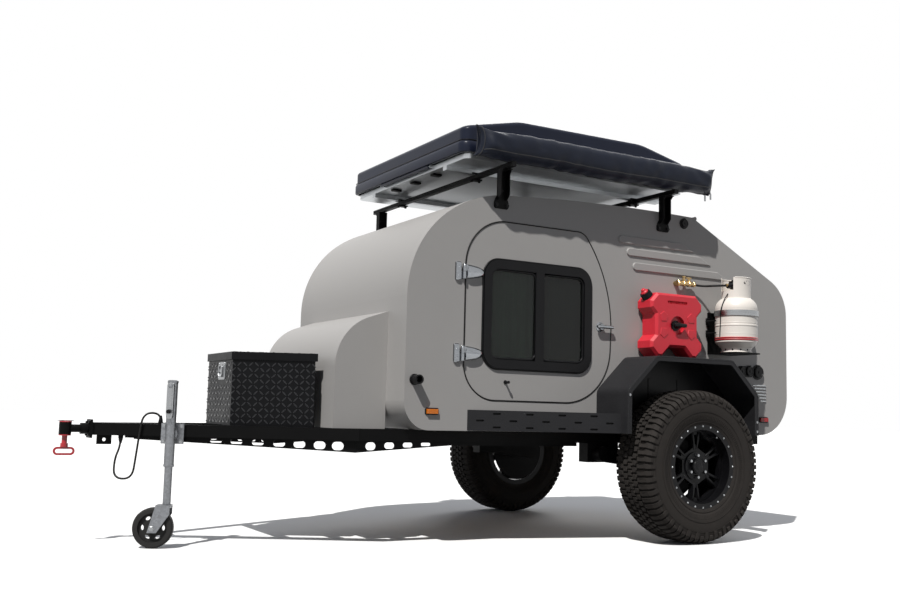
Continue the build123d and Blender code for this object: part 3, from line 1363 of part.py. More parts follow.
with BuildPart() as red_lamps:
    with Locations(at(REAR_MARKER_X, BODY_HALF + MARKER[1] / 2, REAR_MARKER_Z)):
        Box(*MARKER)
    with BuildSketch(cross_plane(-BODY_REAR - TAIL_PROUD)):
        with Locations((TAIL_Y, TAIL_Z)):
            Circle(TAIL_R)
    extrude(amount=TAIL_PROUD)
    mirror(about=Plane.XZ)

with BuildPart() as side_ports:
    for ahead, height, radius, proud in PORTS:
        with BuildSketch(side_plane(BODY_HALF + proud)):
            with Locations((ahead, height)):
                Circle(radius)
        extrude(amount=proud)
    with BuildSketch(side_plane(BODY_HALF + PIPE_OUT)):
        with Locations((PIPE_X, PIPE_Z)):
            Circle(PIPE_R)
            Circle(PIPE_BORE_R, mode=Mode.SUBTRACT)
    extrude(amount=PIPE_OUT)

with BuildPart() as tow_cable:
    with BuildLine():
        FilletPolyline(
            rail_spot(*CABLE_START),
            *[rail_spot(along, out, height) for along, out, height, radius in CABLE_BENDS],
            rail_spot(*CABLE_END),
            radius=[radius for along, out, height, radius in CABLE_BENDS],
        )
    with BuildSketch(Plane(origin=rail_spot(*CABLE_START), z_dir=(0, 0, 1))):
        Circle(CABLE_R)
    sweep()

# Export
os.makedirs("parts", exist_ok=True)
PIECES = {
    "main_rails": main_rails,
    "crossmembers": crossmembers,
    "tongue_rails": tongue_rails,
    "truss_plates": truss_plates,
    "coupler_housing": coupler_housing,
    "coupler_head": coupler_head,
    "hitch_pin": hitch_pin,
    "half_axles": half_axles,
    "tyre_left": tyre_left,
    "rim_left": rim_left,
    "tyre_right": tyre_right,
    "rim_right": rim_right,
    "jack_mount": jack_mount,
    "jack_tube": jack_tube,
    "jack_leg": jack_leg,
    "caster_fork": caster_fork,
    "caster_wheel": caster_wheel,
    "side_left": side_left,
    "side_right": side_right,
    "roof_skin": roof_skin,
    "cabin_floor": cabin_floor,
    "rear_apron": rear_apron,
    "bulkhead": bulkhead,
    "hatch": hatch,
    "hatch_pin": hatch_pin,
    "nose_box": nose_box,
    "mattress": mattress,
    "door_left": door_left,
    "window_frame_left": window_frame_left,
    "window_glass_left": window_glass_left,
    "curtain_left": curtain_left,
    "door_fittings_left": door_fittings_left,
    "hinge_leaves": hinge_leaves,
    "fenders": fenders,
    "side_steps": side_steps,
    "toolbox": toolbox,
    "toolbox_lid": toolbox_lid,
    "roof_rack": roof_rack,
    "tent_base": tent_base,
    "tent_shell": tent_shell,
    "tent_bedding": tent_bedding,
    "awning_bag": awning_bag,
    "fuel_can": fuel_can,
    "can_fittings": can_fittings,
    "gas_cylinder": gas_cylinder,
    "gas_bracket": gas_bracket,
    "gas_fittings": gas_fittings,
    "gas_hose": gas_hose,
    "amber_lamps": amber_lamps,
    "red_lamps": red_lamps,
    "side_ports": side_ports,
    "tow_cable": tow_cable,
    **RIGHT_DOOR,
}
for name, piece in PIECES.items():
    piece.part.label = name
    export_step(piece.part, f"parts/{name}.step")
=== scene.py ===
"""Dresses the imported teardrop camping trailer: finishes, tyres, soft goods, cords and small hardware."""
import math
import random

import bmesh
import bpy
from mathutils import Matrix, Vector


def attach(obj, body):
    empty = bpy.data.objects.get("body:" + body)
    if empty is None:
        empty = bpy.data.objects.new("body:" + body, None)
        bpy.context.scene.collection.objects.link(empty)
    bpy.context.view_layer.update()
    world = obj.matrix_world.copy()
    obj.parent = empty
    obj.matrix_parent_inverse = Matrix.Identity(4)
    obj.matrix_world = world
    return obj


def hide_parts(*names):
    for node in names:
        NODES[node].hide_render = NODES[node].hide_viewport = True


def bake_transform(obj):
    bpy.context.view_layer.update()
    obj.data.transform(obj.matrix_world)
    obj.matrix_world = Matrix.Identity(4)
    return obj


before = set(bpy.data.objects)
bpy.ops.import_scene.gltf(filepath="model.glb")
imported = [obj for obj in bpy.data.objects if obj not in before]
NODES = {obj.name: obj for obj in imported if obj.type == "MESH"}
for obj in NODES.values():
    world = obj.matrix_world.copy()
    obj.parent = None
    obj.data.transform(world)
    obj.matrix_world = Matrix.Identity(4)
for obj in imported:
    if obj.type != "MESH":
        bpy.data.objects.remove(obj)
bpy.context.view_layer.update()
AXLE_AHEAD = -1.0905  # where the axle stands along the row frame, in metres
CHANCE = random.Random(7)
LEFT, RIGHT = 1, -1
SIDES = ((LEFT, "left"), (RIGHT, "right"))
# places in mm that several pieces share: ahead of the axle, out from the middle or above the ground
WALL = 720
REAR = -1025.2
AXLE_UP, WHEEL_OUT = 419, 920
HINGE_UPS = (986, 1413)
RACK_BARS = (1146, 10)
WINDOW_AHEAD, WINDOW_UP = 891, 1207
GAS_AHEAD, GAS_OUT = -442, 863
BRASS_OUT, VALVE_UP = 752, 1474
JACK_ALONG, JACK_OUT = 897, 84


def spot(ahead, left, up):
    """A place in metres from millimetres ahead of the axle, left of the middle and above the ground."""
    return Vector((ahead / 1000 + AXLE_AHEAD, left / 1000, up / 1000))


# Camera, at the photograph's height and angle


def photo_camera():
    yaw, pitch, roll, stance = (math.radians(turn) for turn in (29.9, 5.7, 0.5, 1.1))
    ahead = Vector((-math.sin(yaw) * math.cos(pitch), -math.cos(yaw) * math.cos(pitch), math.sin(pitch)))
    right = Vector((-math.cos(yaw), math.sin(yaw), 0))
    up = right.cross(ahead)
    tipped_right = right * math.cos(roll) + up * math.sin(roll)
    tipped_up = up * math.cos(roll) - right * math.sin(roll)
    level = Matrix.Rotation(stance, 3, "Y")
    lens = bpy.data.cameras.new("photo_camera")
    lens.lens = 40.49
    lens.sensor_width = 36
    camera = bpy.data.objects.new("photo_camera", lens)
    bpy.context.scene.collection.objects.link(camera)
    turned = Matrix((level @ tipped_right, level @ tipped_up, level @ -ahead)).transposed().to_4x4()
    turned.translation = spot(4027.8, 5227.9, 689.6)
    camera.matrix_world = turned
    bpy.context.scene.camera = camera


photo_camera()


# Finishes


def srgb(code):
    """Linear colour from an sRGB hex value."""
    parts = [int(code[start : start + 2], 16) / 255 for start in (1, 3, 5)]
    return tuple(c / 12.92 if c <= 0.04045 else ((c + 0.055) / 1.055) ** 2.4 for c in parts) + (1.0,)


def add(tree, kind, settings=None, links=None):
    """Adds one node with its settings, and joins its inputs to earlier nodes' outputs."""
    made = tree.nodes.new(kind)
    for key, value in (settings or {}).items():
        if isinstance(key, str) and hasattr(made, key):
            setattr(made, key, value)
        else:
            made.inputs[key].default_value = value
    for key, (source, output) in (links or {}).items():
        tree.links.new(source.outputs[output], made.inputs[key])
    return made


def finish(name, settings):
    """A new material: gives it with its tree, its shader and its place on the object."""
    material = bpy.data.materials.new(name)
    material.use_nodes = True
    tree = material.node_tree
    shader = tree.nodes["Principled BSDF"]
    for socket, value in settings.items():
        shader.inputs[socket].default_value = value
    return material, tree, shader, add(tree, "ShaderNodeTexCoord")


def two_tone(tree, first, second, factor):
    """A colour between two sRGB hex values, by a node's output."""
    return add(tree, "ShaderNodeMix", {"data_type": "RGBA", 6: srgb(first), 7: srgb(second)}, {0: factor})


def wire_up(tree, shader, colour, gloss=None, bump=None):
    """Joins a finish's colour, and its gloss and relief where it has them, to the shader."""
    tree.links.new(colour.outputs[2], shader.inputs["Base Color"])
    if gloss:
        tree.links.new(gloss.outputs["Result"], shader.inputs["Roughness"])
    if bump:
        tree.links.new(bump.outputs["Normal"], shader.inputs["Normal"])


def coated(name, dark, light, patch, grit, relief, rough, settings=None):
    """A coat or moulding: colour drifts over patches, with grit of a given width and height in mm."""
    material, tree, shader, where = finish(name, settings or {})
    drift = add(tree, "ShaderNodeTexNoise", {"Scale": 1000 / patch, "Detail": 5, "Roughness": 0.65},
                {"Vector": (where, "Object")})
    colour = two_tone(tree, dark, light, (drift, "Fac"))
    gloss = add(tree, "ShaderNodeMapRange", {"From Min": 0.25, "From Max": 0.75, "To Min": rough[0],
                                             "To Max": rough[1]}, {"Value": (drift, "Fac")})
    grain = add(tree, "ShaderNodeTexNoise", {"Scale": 1000 / grit, "Detail": 2}, {"Vector": (where, "Object")})
    bump = add(tree, "ShaderNodeBump", {"Strength": 1.0, "Distance": relief / 1000}, {"Height": (grain, "Fac")})
    wire_up(tree, shader, colour, gloss, bump)
    return material


def woven(name, warp, weft, thread, relief, rough, settings=None):
    """A plain weave: two sets of threads a given number of mm apart, over and under each other."""
    material, tree, shader, where = finish(name, settings or {})
    # a wave of scale s repeats about every 0.314 / s of a metre
    threads = [
        add(tree, "ShaderNodeTexWave",
            {"wave_type": "BANDS", "bands_direction": way, "Scale": 314 / thread, "Distortion": 0.6, "Detail": 1},
            {"Vector": (where, "Object")})
        for way in ("X", "Z", "Y")
    ]
    over = add(tree, "ShaderNodeMath", {"operation": "MAXIMUM"}, {0: (threads[1], "Fac"), 1: (threads[2], "Fac")})
    cross = add(tree, "ShaderNodeMath", {"operation": "MULTIPLY"}, {0: (threads[0], "Fac"), 1: (over, 0)})
    fade = add(tree, "ShaderNodeTexNoise", {"Scale": 6, "Detail": 6, "Roughness": 0.7}, {"Vector": (where, "Object")})
    blend = add(tree, "ShaderNodeMath", {"operation": "MULTIPLY_ADD", 1: 0.35}, {0: (cross, 0), 2: (fade, "Fac")})
    colour = two_tone(tree, warp, weft, (blend, 0))
    gloss = add(tree, "ShaderNodeMapRange", {"From Min": 0.3, "From Max": 1.0, "To Min": rough[0], "To Max": rough[1]},
                {"Value": (blend, 0)})
    bump = add(tree, "ShaderNodeBump", {"Strength": 0.7, "Distance": relief / 1000}, {"Height": (cross, 0)})
    wire_up(tree, shader, colour, gloss, bump)
    return material


def drawn_metal(name, dark, light, across, along, rough):
    """A bare metal with marks from its rolling or drawing, a given width and length in mm along the trailer."""
    material, tree, shader, where = finish(name, {"Metallic": 1.0})
    stretch = add(tree, "ShaderNodeMapping", {"Scale": (1000 / along, 1000 / across, 1000 / across)},
                  {"Vector": (where, "Object")})
    marks = add(tree, "ShaderNodeTexNoise", {"Scale": 1.0, "Detail": 4}, {"Vector": (stretch, "Vector")})
    colour = two_tone(tree, dark, light, (marks, "Fac"))
    gloss = add(tree, "ShaderNodeMapRange", {"From Min": 0.2, "From Max": 0.8, "To Min": rough[0], "To Max": rough[1]},
                {"Value": (marks, "Fac")})
    bump = add(tree, "ShaderNodeBump", {"Strength": 0.25, "Distance": 0.0004}, {"Height": (marks, "Fac")})
    wire_up(tree, shader, colour, gloss, bump)
    return material


def galvanised(name, dark, light, spangle):
    """Hot-dip zinc on steel: dull crystals a given number of mm wide, each with its own grey and gloss."""
    material, tree, shader, where = finish(name, {"Metallic": 1.0})
    crystals = add(tree, "ShaderNodeTexVoronoi", {"Scale": 1000 / spangle}, {"Vector": (where, "Object")})
    grey = add(tree, "ShaderNodeSeparateColor", None, {"Color": (crystals, "Color")})
    colour = two_tone(tree, dark, light, (grey, "Red"))
    gloss = add(tree, "ShaderNodeMapRange", {"To Min": 0.34, "To Max": 0.52}, {"Value": (grey, "Green")})
    bump = add(tree, "ShaderNodeBump", {"Strength": 0.12, "Distance": 0.0004}, {"Height": (crystals, "Distance")})
    wire_up(tree, shader, colour, gloss, bump)
    return material


def ribbed_lens(name, deep, bright, rib):
    """A moulded lamp lens, with prisms a given number of mm apart inside a glossy face."""
    material, tree, shader, where = finish(name, {"IOR": 1.49, "Transmission Weight": 0.1, "Coat Weight": 0.15,
                                                  "Roughness": 0.22, "Specular IOR Level": 0.3})
    prisms = add(tree, "ShaderNodeTexWave", {"wave_type": "BANDS", "bands_direction": "Z", "Scale": 314 / rib},
                 {"Vector": (where, "Object")})
    colour = two_tone(tree, deep, bright, (prisms, "Fac"))
    bump = add(tree, "ShaderNodeBump", {"Strength": 0.5, "Distance": 0.001}, {"Height": (prisms, "Fac")})
    wire_up(tree, shader, colour, bump=bump)
    return material


def grained_ply(name, dark, light):
    """Birch plywood under clear varnish: pale bands of grain about 14 mm apart, drawn out along each sheet."""
    material, tree, shader, where = finish(name, {"Coat Weight": 0.25, "Coat Roughness": 0.25})
    stretch = add(tree, "ShaderNodeMapping", {"Scale": (1.2, 9.0, 1.2)}, {"Vector": (where, "Object")})
    bands = add(tree, "ShaderNodeTexWave",
                {"bands_direction": "Y", "Scale": 2.5, "Distortion": 4.0, "Detail": 4, "Detail Scale": 1.4},
                {"Vector": (stretch, "Vector")})
    colour = two_tone(tree, dark, light, (bands, "Fac"))
    gloss = add(tree, "ShaderNodeMapRange", {"To Min": 0.38, "To Max": 0.55}, {"Value": (bands, "Fac")})
    wire_up(tree, shader, colour, gloss)
    return material


# Two-pack paint sprayed on aluminium: warm grey, a fine orange peel (2 mm, drawn at 7 mm so that it shows)
GREY_PAINT = coated("grey_two_pack_paint", "#9a9896", "#a2a09e", 420, 7, 0.35, (0.46, 0.58),
                    {"Specular IOR Level": 0.35})
# Sprayed bed-liner on steel: near black, coarse grit that breaks up every highlight
BED_LINER = coated("black_bed_liner", "#1a1a1c", "#2a2a2c", 160, 6, 1.4, (0.48, 0.66), {"Specular IOR Level": 0.16})
# Powder coat on frame steel: black with a soft sheen
POWDER_COAT = coated("black_powder_coat", "#060607", "#0d0d0d", 220, 5, 0.4, (0.36, 0.58), {"Specular IOR Level": 0.07})
# Black-coated aluminium tread plate: satin, with the raised bars painted a little brighter, partly for rubbed paint and
# partly as a painted highlight
TREAD_PLATE = coated("black_tread_plate", "#08080a", "#101113", 90, 4, 0.3, (0.3, 0.46), {"Specular IOR Level": 0.1})
TREAD_BARS = coated("rubbed_tread_bars_painted_highlight", "#18191b", "#2c2d30", 25, 4, 0.2, (0.24, 0.36), {"Specular IOR Level": 0.4})
# Hot-dip galvanised steel: dull silver spangle about 9 mm wide
ZINC = galvanised("galvanised_steel", "#76787b", "#85878b", 9)
# Tyre rubber: moulded, matt, grey with dust on the tread
TYRE_RUBBER = coated("tyre_rubber", "#1e1c1b", "#393532", 70, 3, 0.5, (0.72, 0.9), {"Specular IOR Level": 0.16})
# Cast alloy wheel in satin black
RIM_BLACK = coated("satin_black_alloy", "#08080a", "#101012", 150, 5, 0.15, (0.32, 0.46), {"Specular IOR Level": 0.16})
# Solid caster rubber, grey at the scuffed tread
CASTER_RUBBER = coated("caster_rubber", "#131312", "#232221", 30, 3, 0.3, (0.6, 0.8), {"Specular IOR Level": 0.3})
# Moulded ABS: window frames, ports and caps, fine pebble
BLACK_ABS = coated("moulded_black_abs", "#0a0a0c", "#131315", 120, 3, 0.25, (0.3, 0.4), {"Specular IOR Level": 0.14})
# Polyethylene fuel can: bright red, waxy, pebbled by its mould
CAN_RED = coated("red_polyethylene", "#c01d2c", "#d3283a", 120, 4, 0.5, (0.36, 0.5), {"Subsurface Weight": 0.08,
                 "Subsurface Scale": 0.01})
# Baked enamel on the gas cylinder: warm white, faintly streaked
WHITE_ENAMEL = coated("white_baked_enamel", "#ddd6cd", "#e8e3dc", 140, 9, 0.25, (0.3, 0.44))
# Red enamel on the hitch pin's knob and rings
RED_ENAMEL = coated("red_enamel", "#a3131f", "#c01d2a", 40, 5, 0.2, (0.3, 0.42), {"Coat Weight": 0.3})
# Synthetic rubber hose and cable jacket
HOSE_RUBBER = coated("black_hose_rubber", "#0c0c0c", "#161515", 60, 3, 0.2, (0.45, 0.6), {"Specular IOR Level": 0.2})
# Roof tent shell: vacuum-formed acrylic-capped ABS, black with a soft gloss; the blue in its colour is a painted
# reflection of the sky
TENT_SHELL = coated("black_formed_shell", "#171b29", "#1f2536", 300, 5, 0.25, (0.26, 0.36),
                    {"Specular IOR Level": 0.15})
# Mill-finish aluminium sheet and extrusion under the tent
ALUMINIUM = drawn_metal("mill_aluminium", "#a4a7aa", "#c6c9cb", 3, 300, (0.3, 0.46))
# Chrome plate over zinc castings, its colour darkened as a painted reflection of dark surroundings
CHROME = drawn_metal("chrome_plate", "#777a7e", "#a0a3a7", 6, 30, (0.1, 0.2))
# Stainless strap and bolts
STAINLESS = drawn_metal("stainless_steel", "#838587", "#a6a8aa", 2, 60, (0.22, 0.36))
# Turned brass gas fittings
BRASS = drawn_metal("turned_brass", "#947b52", "#bda276", 2, 12, (0.22, 0.36))
# Polyester curtain: soft green plain weave (0.5 mm threads, drawn at 4 mm), painted lighter than the cloth as painted
# sunlight, since the pane keeps the sun off it
CURTAIN_CLOTH = woven("green_polyester_weave", "#74917a", "#98b49d", 4, 0.4, (0.75, 0.9), {"Sheen Weight": 0.25})
# Cotton ticking on the mattresses, cream (0.8 mm threads, drawn at 5 mm)
TICKING = woven("cotton_ticking", "#a79f8f", "#c9c2b3", 5, 0.5, (0.8, 0.92), {"Sheen Weight": 0.2})
# PVC-coated polyester on the awning bag: blue-black, slightly shiny (1 mm threads, drawn at 5 mm)
BAG_CLOTH = woven("coated_polyester_bag", "#10131c", "#1b202d", 5, 0.5, (0.42, 0.6), {"Specular IOR Level": 0.16})
# Polycotton tent canvas, grey (0.6 mm threads, drawn at 4 mm)
TENT_CANVAS = woven("polycotton_canvas", "#5d5f61", "#7b7d7e", 4, 0.4, (0.8, 0.92), {"Sheen Weight": 0.15})
# Nylon webbing and zip tape, black (2 mm ribs)
WEBBING = woven("nylon_webbing", "#0f0f11", "#1e1e21", 4, 0.6, (0.6, 0.75))
BIRCH = grained_ply("varnished_birch_ply", "#c49a68", "#dfc193")
AMBER_LENS = ribbed_lens("amber_lamp_lens", "#c25a06", "#f28a1c", 6)
RED_LENS = ribbed_lens("red_lamp_lens", "#86080f", "#c3141d", 6)


def tinted_pane():
    """Smoked acrylic pane: dark, clear and glossy, with a faint haze of dust."""
    material, tree, shader, where = finish(
        "smoked_acrylic", {"IOR": 1.3, "Transmission Weight": 0.96})
    haze = add(tree, "ShaderNodeTexNoise", {"Scale": 5, "Detail": 6}, {"Vector": (where, "Object")})
    colour = two_tone(tree, "#565d59", "#626a65", (haze, "Fac"))
    gloss = add(tree, "ShaderNodeMapRange", {"To Min": 0.01, "To Max": 0.06}, {"Value": (haze, "Fac")})
    wire_up(tree, shader, colour, gloss)
    return material


SMOKED_PANE = tinted_pane()

FINISHES = (
    (GREY_PAINT, ("side_left", "side_right", "roof_skin", "rear_apron", "hatch", "nose_box", "door_left",
                  "door_right")),
    (BED_LINER, ("fenders", "side_steps")),
    (POWDER_COAT, ("main_rails", "crossmembers", "tongue_rails", "truss_plates", "coupler_housing", "coupler_head",
                   "half_axles", "roof_rack", "gas_bracket")),
    (TREAD_PLATE, ("toolbox", "toolbox_lid")),
    (ZINC, ("jack_mount", "jack_tube", "jack_leg", "caster_fork", "hatch_pin")),
    (RIM_BLACK, ("rim_left", "rim_right")),
    (CASTER_RUBBER, ("caster_wheel",)),
    (SMOKED_PANE, ("window_glass_left", "window_glass_right")),
    (BLACK_ABS, ("window_frame_left", "window_frame_right", "side_ports", "can_fittings")),
    (CHROME, ("hinge_leaves", "door_fittings_left", "door_fittings_right")),
    (BRASS, ("gas_fittings",)),
    (CAN_RED, ("fuel_can",)),
    (WHITE_ENAMEL, ("gas_cylinder",)),
    (RED_ENAMEL, ("hitch_pin",)),
    (TENT_SHELL, ("tent_shell",)),
    (ALUMINIUM, ("tent_base",)),
    (BIRCH, ("cabin_floor", "bulkhead")),
    (AMBER_LENS, ("amber_lamps",)),
    (RED_LENS, ("red_lamps",)),
)
for coat, names in FINISHES:
    for name in names:
        shown = NODES[name]
        for place in shown.material_slots:
            place.material = coat


# Ways to make a piece


def stand(place, outward, upward=(0, 0, 1)):
    """A frame at a place in mm, its Z along outward and its Y as near upward as can be."""
    z = Vector(outward).normalized()
    x = Vector(upward).cross(z)
    x = x.normalized() if x.length > 1e-6 else Vector((1, 0, 0))
    made = Matrix((x, z.cross(x), z)).transposed().to_4x4()
    made.translation = spot(*place)
    return made


def on_side(side, ahead, out, up):
    """A frame at a place in mm on the left or right, its Z outward."""
    return stand((ahead, side * out, up), (0, side, 0))


def skin(work, rings, capped=True):
    """Joins rings of vertices, each to the next, and caps the first and last."""
    for low, high in zip(rings, rings[1:]):
        count = max(len(low), len(high))
        for step in range(count):
            ahead = (step + 1) % count
            corners = [low[step % len(low)], low[ahead % len(low)], high[ahead % len(high)], high[step % len(high)]]
            face = list(dict.fromkeys(corners))
            if len(face) > 2:
                work.faces.new(face)
    if capped:
        for ring in (rings[0], rings[-1]):
            if len(ring) > 2:
                work.faces.new(ring)


def turned(work, where, profile, sides=24, spin=0.0, hoop=False, flute=0.0):
    """A profile of (radius, height) in mm turned round a frame's Z. A radius of 0 closes it, a hoop is hollow."""
    rings = []
    for radius, height in profile:
        count = sides if radius > 0 else 1
        rings.append([
            work.verts.new(where @ Vector((
                (radius - flute * (step % 2)) * math.cos(spin + step * math.tau / count) / 1000,
                (radius - flute * (step % 2)) * math.sin(spin + step * math.tau / count) / 1000,
                height / 1000)))
            for step in range(count)
        ])
    skin(work, rings + [rings[0]] if hoop else rings, capped=not hoop)


def slab(work, where, outline, low, high, edge=0.0):
    """A plate of a given outline in mm, from low to high along a frame's Z, with its top edge cut back."""
    middle = sum((Vector(point) for point in outline), Vector((0, 0))) / len(outline)
    levels = [(low, 0.0), (high - edge, 0.0)] + ([(high, edge)] if edge else [])
    rings = []
    for height, inset in levels:
        ring = []
        for point in outline:
            reach = Vector(point) - middle
            flat = middle + reach * max(0.0, 1 - inset / max(reach.length, 1e-6))
            ring.append(work.verts.new(where @ Vector((flat.x / 1000, flat.y / 1000, height / 1000))))
        rings.append(ring)
    skin(work, rings)


def bar(work, points, radius, sides=12, closed=False):
    """A round bar through places in mm."""
    places = [spot(*point) for point in points]
    count = len(places)
    rings = []
    across = None
    for step, place in enumerate(places):
        before = places[step - 1] if step or closed else place
        after = places[(step + 1) % count] if step + 1 < count or closed else place
        along = (after - before).normalized()
        if across is None:
            across = along.orthogonal().normalized()
        across = (across - along * across.dot(along)).normalized()
        lift = along.cross(across)
        rings.append([
            work.verts.new(place + (across * math.cos(turn) + lift * math.sin(turn)) * radius / 1000)
            for turn in (side * math.tau / sides for side in range(sides))
        ])
    skin(work, rings + [rings[0]] if closed else rings, capped=not closed)


def rounded(width, height, radius, steps=5):
    """The outline of a rounded rectangle, in mm."""
    corners = ((1, 1, 0), (-1, 1, 90), (-1, -1, 180), (1, -1, 270))
    return [
        (sx * (width / 2 - radius) + radius * math.cos(math.radians(start + 90 * step / steps)),
         sy * (height / 2 - radius) + radius * math.sin(math.radians(start + 90 * step / steps)))
        for sx, sy, start in corners
        for step in range(steps + 1)
    ]


def bolt(work, place, outward, across, height, spin=0.3):
    """A hexagon bolt head on its washer; across is the head's width over its corners, in mm."""
    where = stand(place, outward)
    turned(work, where, ((0, 0), (across * 0.62, 0), (across * 0.62, height * 0.22), (0, height * 0.22)), 20)
    turned(work, where, ((0, height * 0.2), (across / 2, height * 0.2), (across / 2, height * 0.85),
                         (across * 0.42, height), (0, height)), 6, spin)


def hand_over(work, name, coat, body, soft_edge=35, bevel=0.0, subdivide=0):
    """Turns the work into a piece that rides on a body."""
    bmesh.ops.recalc_face_normals(work, faces=work.faces)
    mesh = bpy.data.meshes.new(name)
    work.to_mesh(mesh)
    work.free()
    for face in mesh.polygons:
        face.use_smooth = True
    mesh.set_sharp_from_angle(angle=math.radians(soft_edge))
    mesh.materials.append(coat)
    piece = bpy.data.objects.new(name, mesh)
    bpy.context.scene.collection.objects.link(piece)
    if bevel:
        soften = piece.modifiers.new("soft_edges", "BEVEL")
        soften.width = bevel / 1000
        soften.segments = 2
        soften.limit_method = "ANGLE"
        soften.angle_limit = math.radians(40)
    if subdivide:
        smooth = piece.modifiers.new("smooth", "SUBSURF")
        smooth.levels = subdivide
        smooth.render_levels = subdivide
    if body:
        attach(piece, body)
    return piece


def dress(work, name, coat, body, soft_edge=35, bevel=0.0):
    """A piece that rides on a body."""
    hand_over(work, name, coat, body, soft_edge, bevel)


# Cords


def rail_place(along, out, up):
    """A place by the left tongue rail, in mm along it from the bend, out from its middle and above the ground."""
    return (1885 + along * 0.89605 + out * 0.44395, 580 - along * 0.44395 + out * 0.89605, up)


def cord(name, places, diameter, coat, body):
    """A cord on one smooth line that its route's corners pull."""
    line = bpy.data.curves.new(name, "CURVE")
    line.dimensions = "3D"
    line.bevel_depth = diameter / 2000
    line.bevel_resolution = 6
    line.resolution_u = 20
    line.use_fill_caps = True
    run = line.splines.new("NURBS")
    run.points.add(len(places) - 1)
    for point, place in zip(run.points, places):
        point.co = (*spot(*place), 1)
    run.order_u = 3
    run.use_endpoint_u = True
    line.materials.append(coat)
    piece = bpy.data.objects.new(name, line)
    bpy.context.scene.collection.objects.link(piece)
    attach(piece, body)
    return piece


CABLE_ROUTE = ((965, 0, 601), (965, 0, 642), (1040, 44, 642), (1054, 44, 545), (1066, 44, 425), (1078, 44, 322),
               (1168, 40, 322), (1172, 24, 415), (1154, 0, 476), (1154, 0, 517))
cable = cord("breakaway_cable", [rail_place(*place) for place in CABLE_ROUTE], 10, HOSE_RUBBER, "chassis")
work = bmesh.new()
turned(work, stand(rail_place(965, 0, 601), (0, 0, 1)), ((0, 0), (11, 0), (10, 9), (7, 22), (5.6, 30), (0, 30)), 18)
turned(work, stand(rail_place(1154, 0, 517), (0, 0, -1)), ((0, 0), (11, 0), (10, 9), (7, 20), (5.6, 26), (0, 26)), 18)
cable_boots = hand_over(work, "cable_boots", BLACK_ABS, "chassis")
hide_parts("tow_cable")

HOSE_ROUTE = ((-210, BRASS_OUT, VALVE_UP), (-262, BRASS_OUT, 1468), (-318, GAS_OUT, 1468), (-390, GAS_OUT, VALVE_UP))
hose = cord("gas_hose_line", HOSE_ROUTE, 13, HOSE_RUBBER, "chassis")
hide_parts("gas_hose")


# Tyres with their tread blocks and shoulder lugs, and the wheels' bolts

PITCHES = 70
TREAD_TOP, TREAD_FLOOR = 418.8, 404.0
CARCASS = ((216, 112), (224, 119), (244, 126), (252, 127), (256, 130), (296, 136), (330, 138), (362, 135.5),
           (384, 130), (397, 121), (404, 106), (405, 60), (405, 0))
# One pitch of the tread: (along in mm, out from the middle in mm) for each block, with its row's shift in pitches
TREAD_BLOCKS = (
    (((-15, -13), (-4, -19), (2, -9), (14, -14), (15, 11), (4, 18), (-2, 9), (-14, 14)), 0.0),
    (((-14, 24), (0, 20), (13, 25), (12, 49), (0, 53), (-13, 48)), 0.5),
    (((-12, 60), (10, 57), (12, 88), (12, 120), (-11, 120), (-13, 88)), 0.1),
)
LUG_SHIFT, LUG_HALF = 0.1, 11.5  # shoulder lugs: shift in pitches, half width in mm
LUG_FEET = ((354, 138), (372, 136.5))  # their inner radius and how far out they start, by turns


def tyre(side, body, node):
    work = bmesh.new()

    def on(radius, turn, out):
        return work.verts.new(spot(radius * math.cos(turn), side * (WHEEL_OUT + out),
                                   AXLE_UP + radius * math.sin(turn)))

    profile = list(CARCASS) + [(radius, -out) for radius, out in reversed(CARCASS[:-1])]
    steps = 112
    rings = [[on(radius, step * math.tau / steps, out) for radius, out in profile] for step in range(steps)]
    skin(work, rings + [rings[0]], capped=False)

    def top(out):
        return TREAD_TOP - max(0.0, abs(out) - 110) * 1.1

    for pitch in range(PITCHES):
        for outline, shift in TREAD_BLOCKS:
            for hand in (1,) if outline[0][1] < 0 else (1, -1):
                turn = (pitch + shift * hand) * math.tau / PITCHES
                middle = Vector((sum(p[0] for p in outline), sum(p[1] for p in outline))) / len(outline)
                levels = []
                for inset, low in ((0.0, True), (0.0, False), (1.6, False)):
                    ring = []
                    for along, out in outline:
                        reach = Vector((along, out)) - middle
                        flat = middle + reach * (1 - inset / reach.length)
                        rise = TREAD_FLOOR - 2 if low else top(flat.y) - (0 if inset else 1.5)
                        ring.append(on(rise, turn + hand * flat.x / TREAD_TOP, hand * flat.y))
                    levels.append(ring)
                skin(work, levels)
        inner, foot = LUG_FEET[pitch % 2]
        for hand in (1, -1):
            turn = (pitch + LUG_SHIFT * hand) * math.tau / PITCHES
            section = ((inner, foot - 5), (inner + 3, foot + 3), (388, 139.5), (401, 131), (408, 119), (390, 118))
            levels = [
                [on(radius, turn + hand * edge * (LUG_HALF - (4 if radius == inner else 0)) / 400, hand * out)
                 for radius, out in section]
                for edge in (-1, 1)
            ]
            skin(work, levels)
    for hand in (1, -1):
        for low, high in ((246, 249), (300, 302.5), (352, 354.5)):
            out = 129 if low < 260 else 138.6 if low < 340 else 138.4
            band = [[on(r, step * math.tau / steps, hand * o)
                     for r, o in ((low, out - 5), (low, out), (high, out), (high, out - 5))]
                    for step in range(steps)]
            skin(work, band + [band[0]], capped=False)
        for step in range(140):
            turn = step * math.tau / 140
            levels = [[on(r, turn + edge * 0.0045, hand * o)
                       for r, o in ((262, 128), (262, 132.6), (284, 136.4), (284, 130))]
                      for edge in (-1, 1)]
            skin(work, levels)
    piece = hand_over(work, node + "_tread", TYRE_RUBBER, body, 30)
    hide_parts(node)


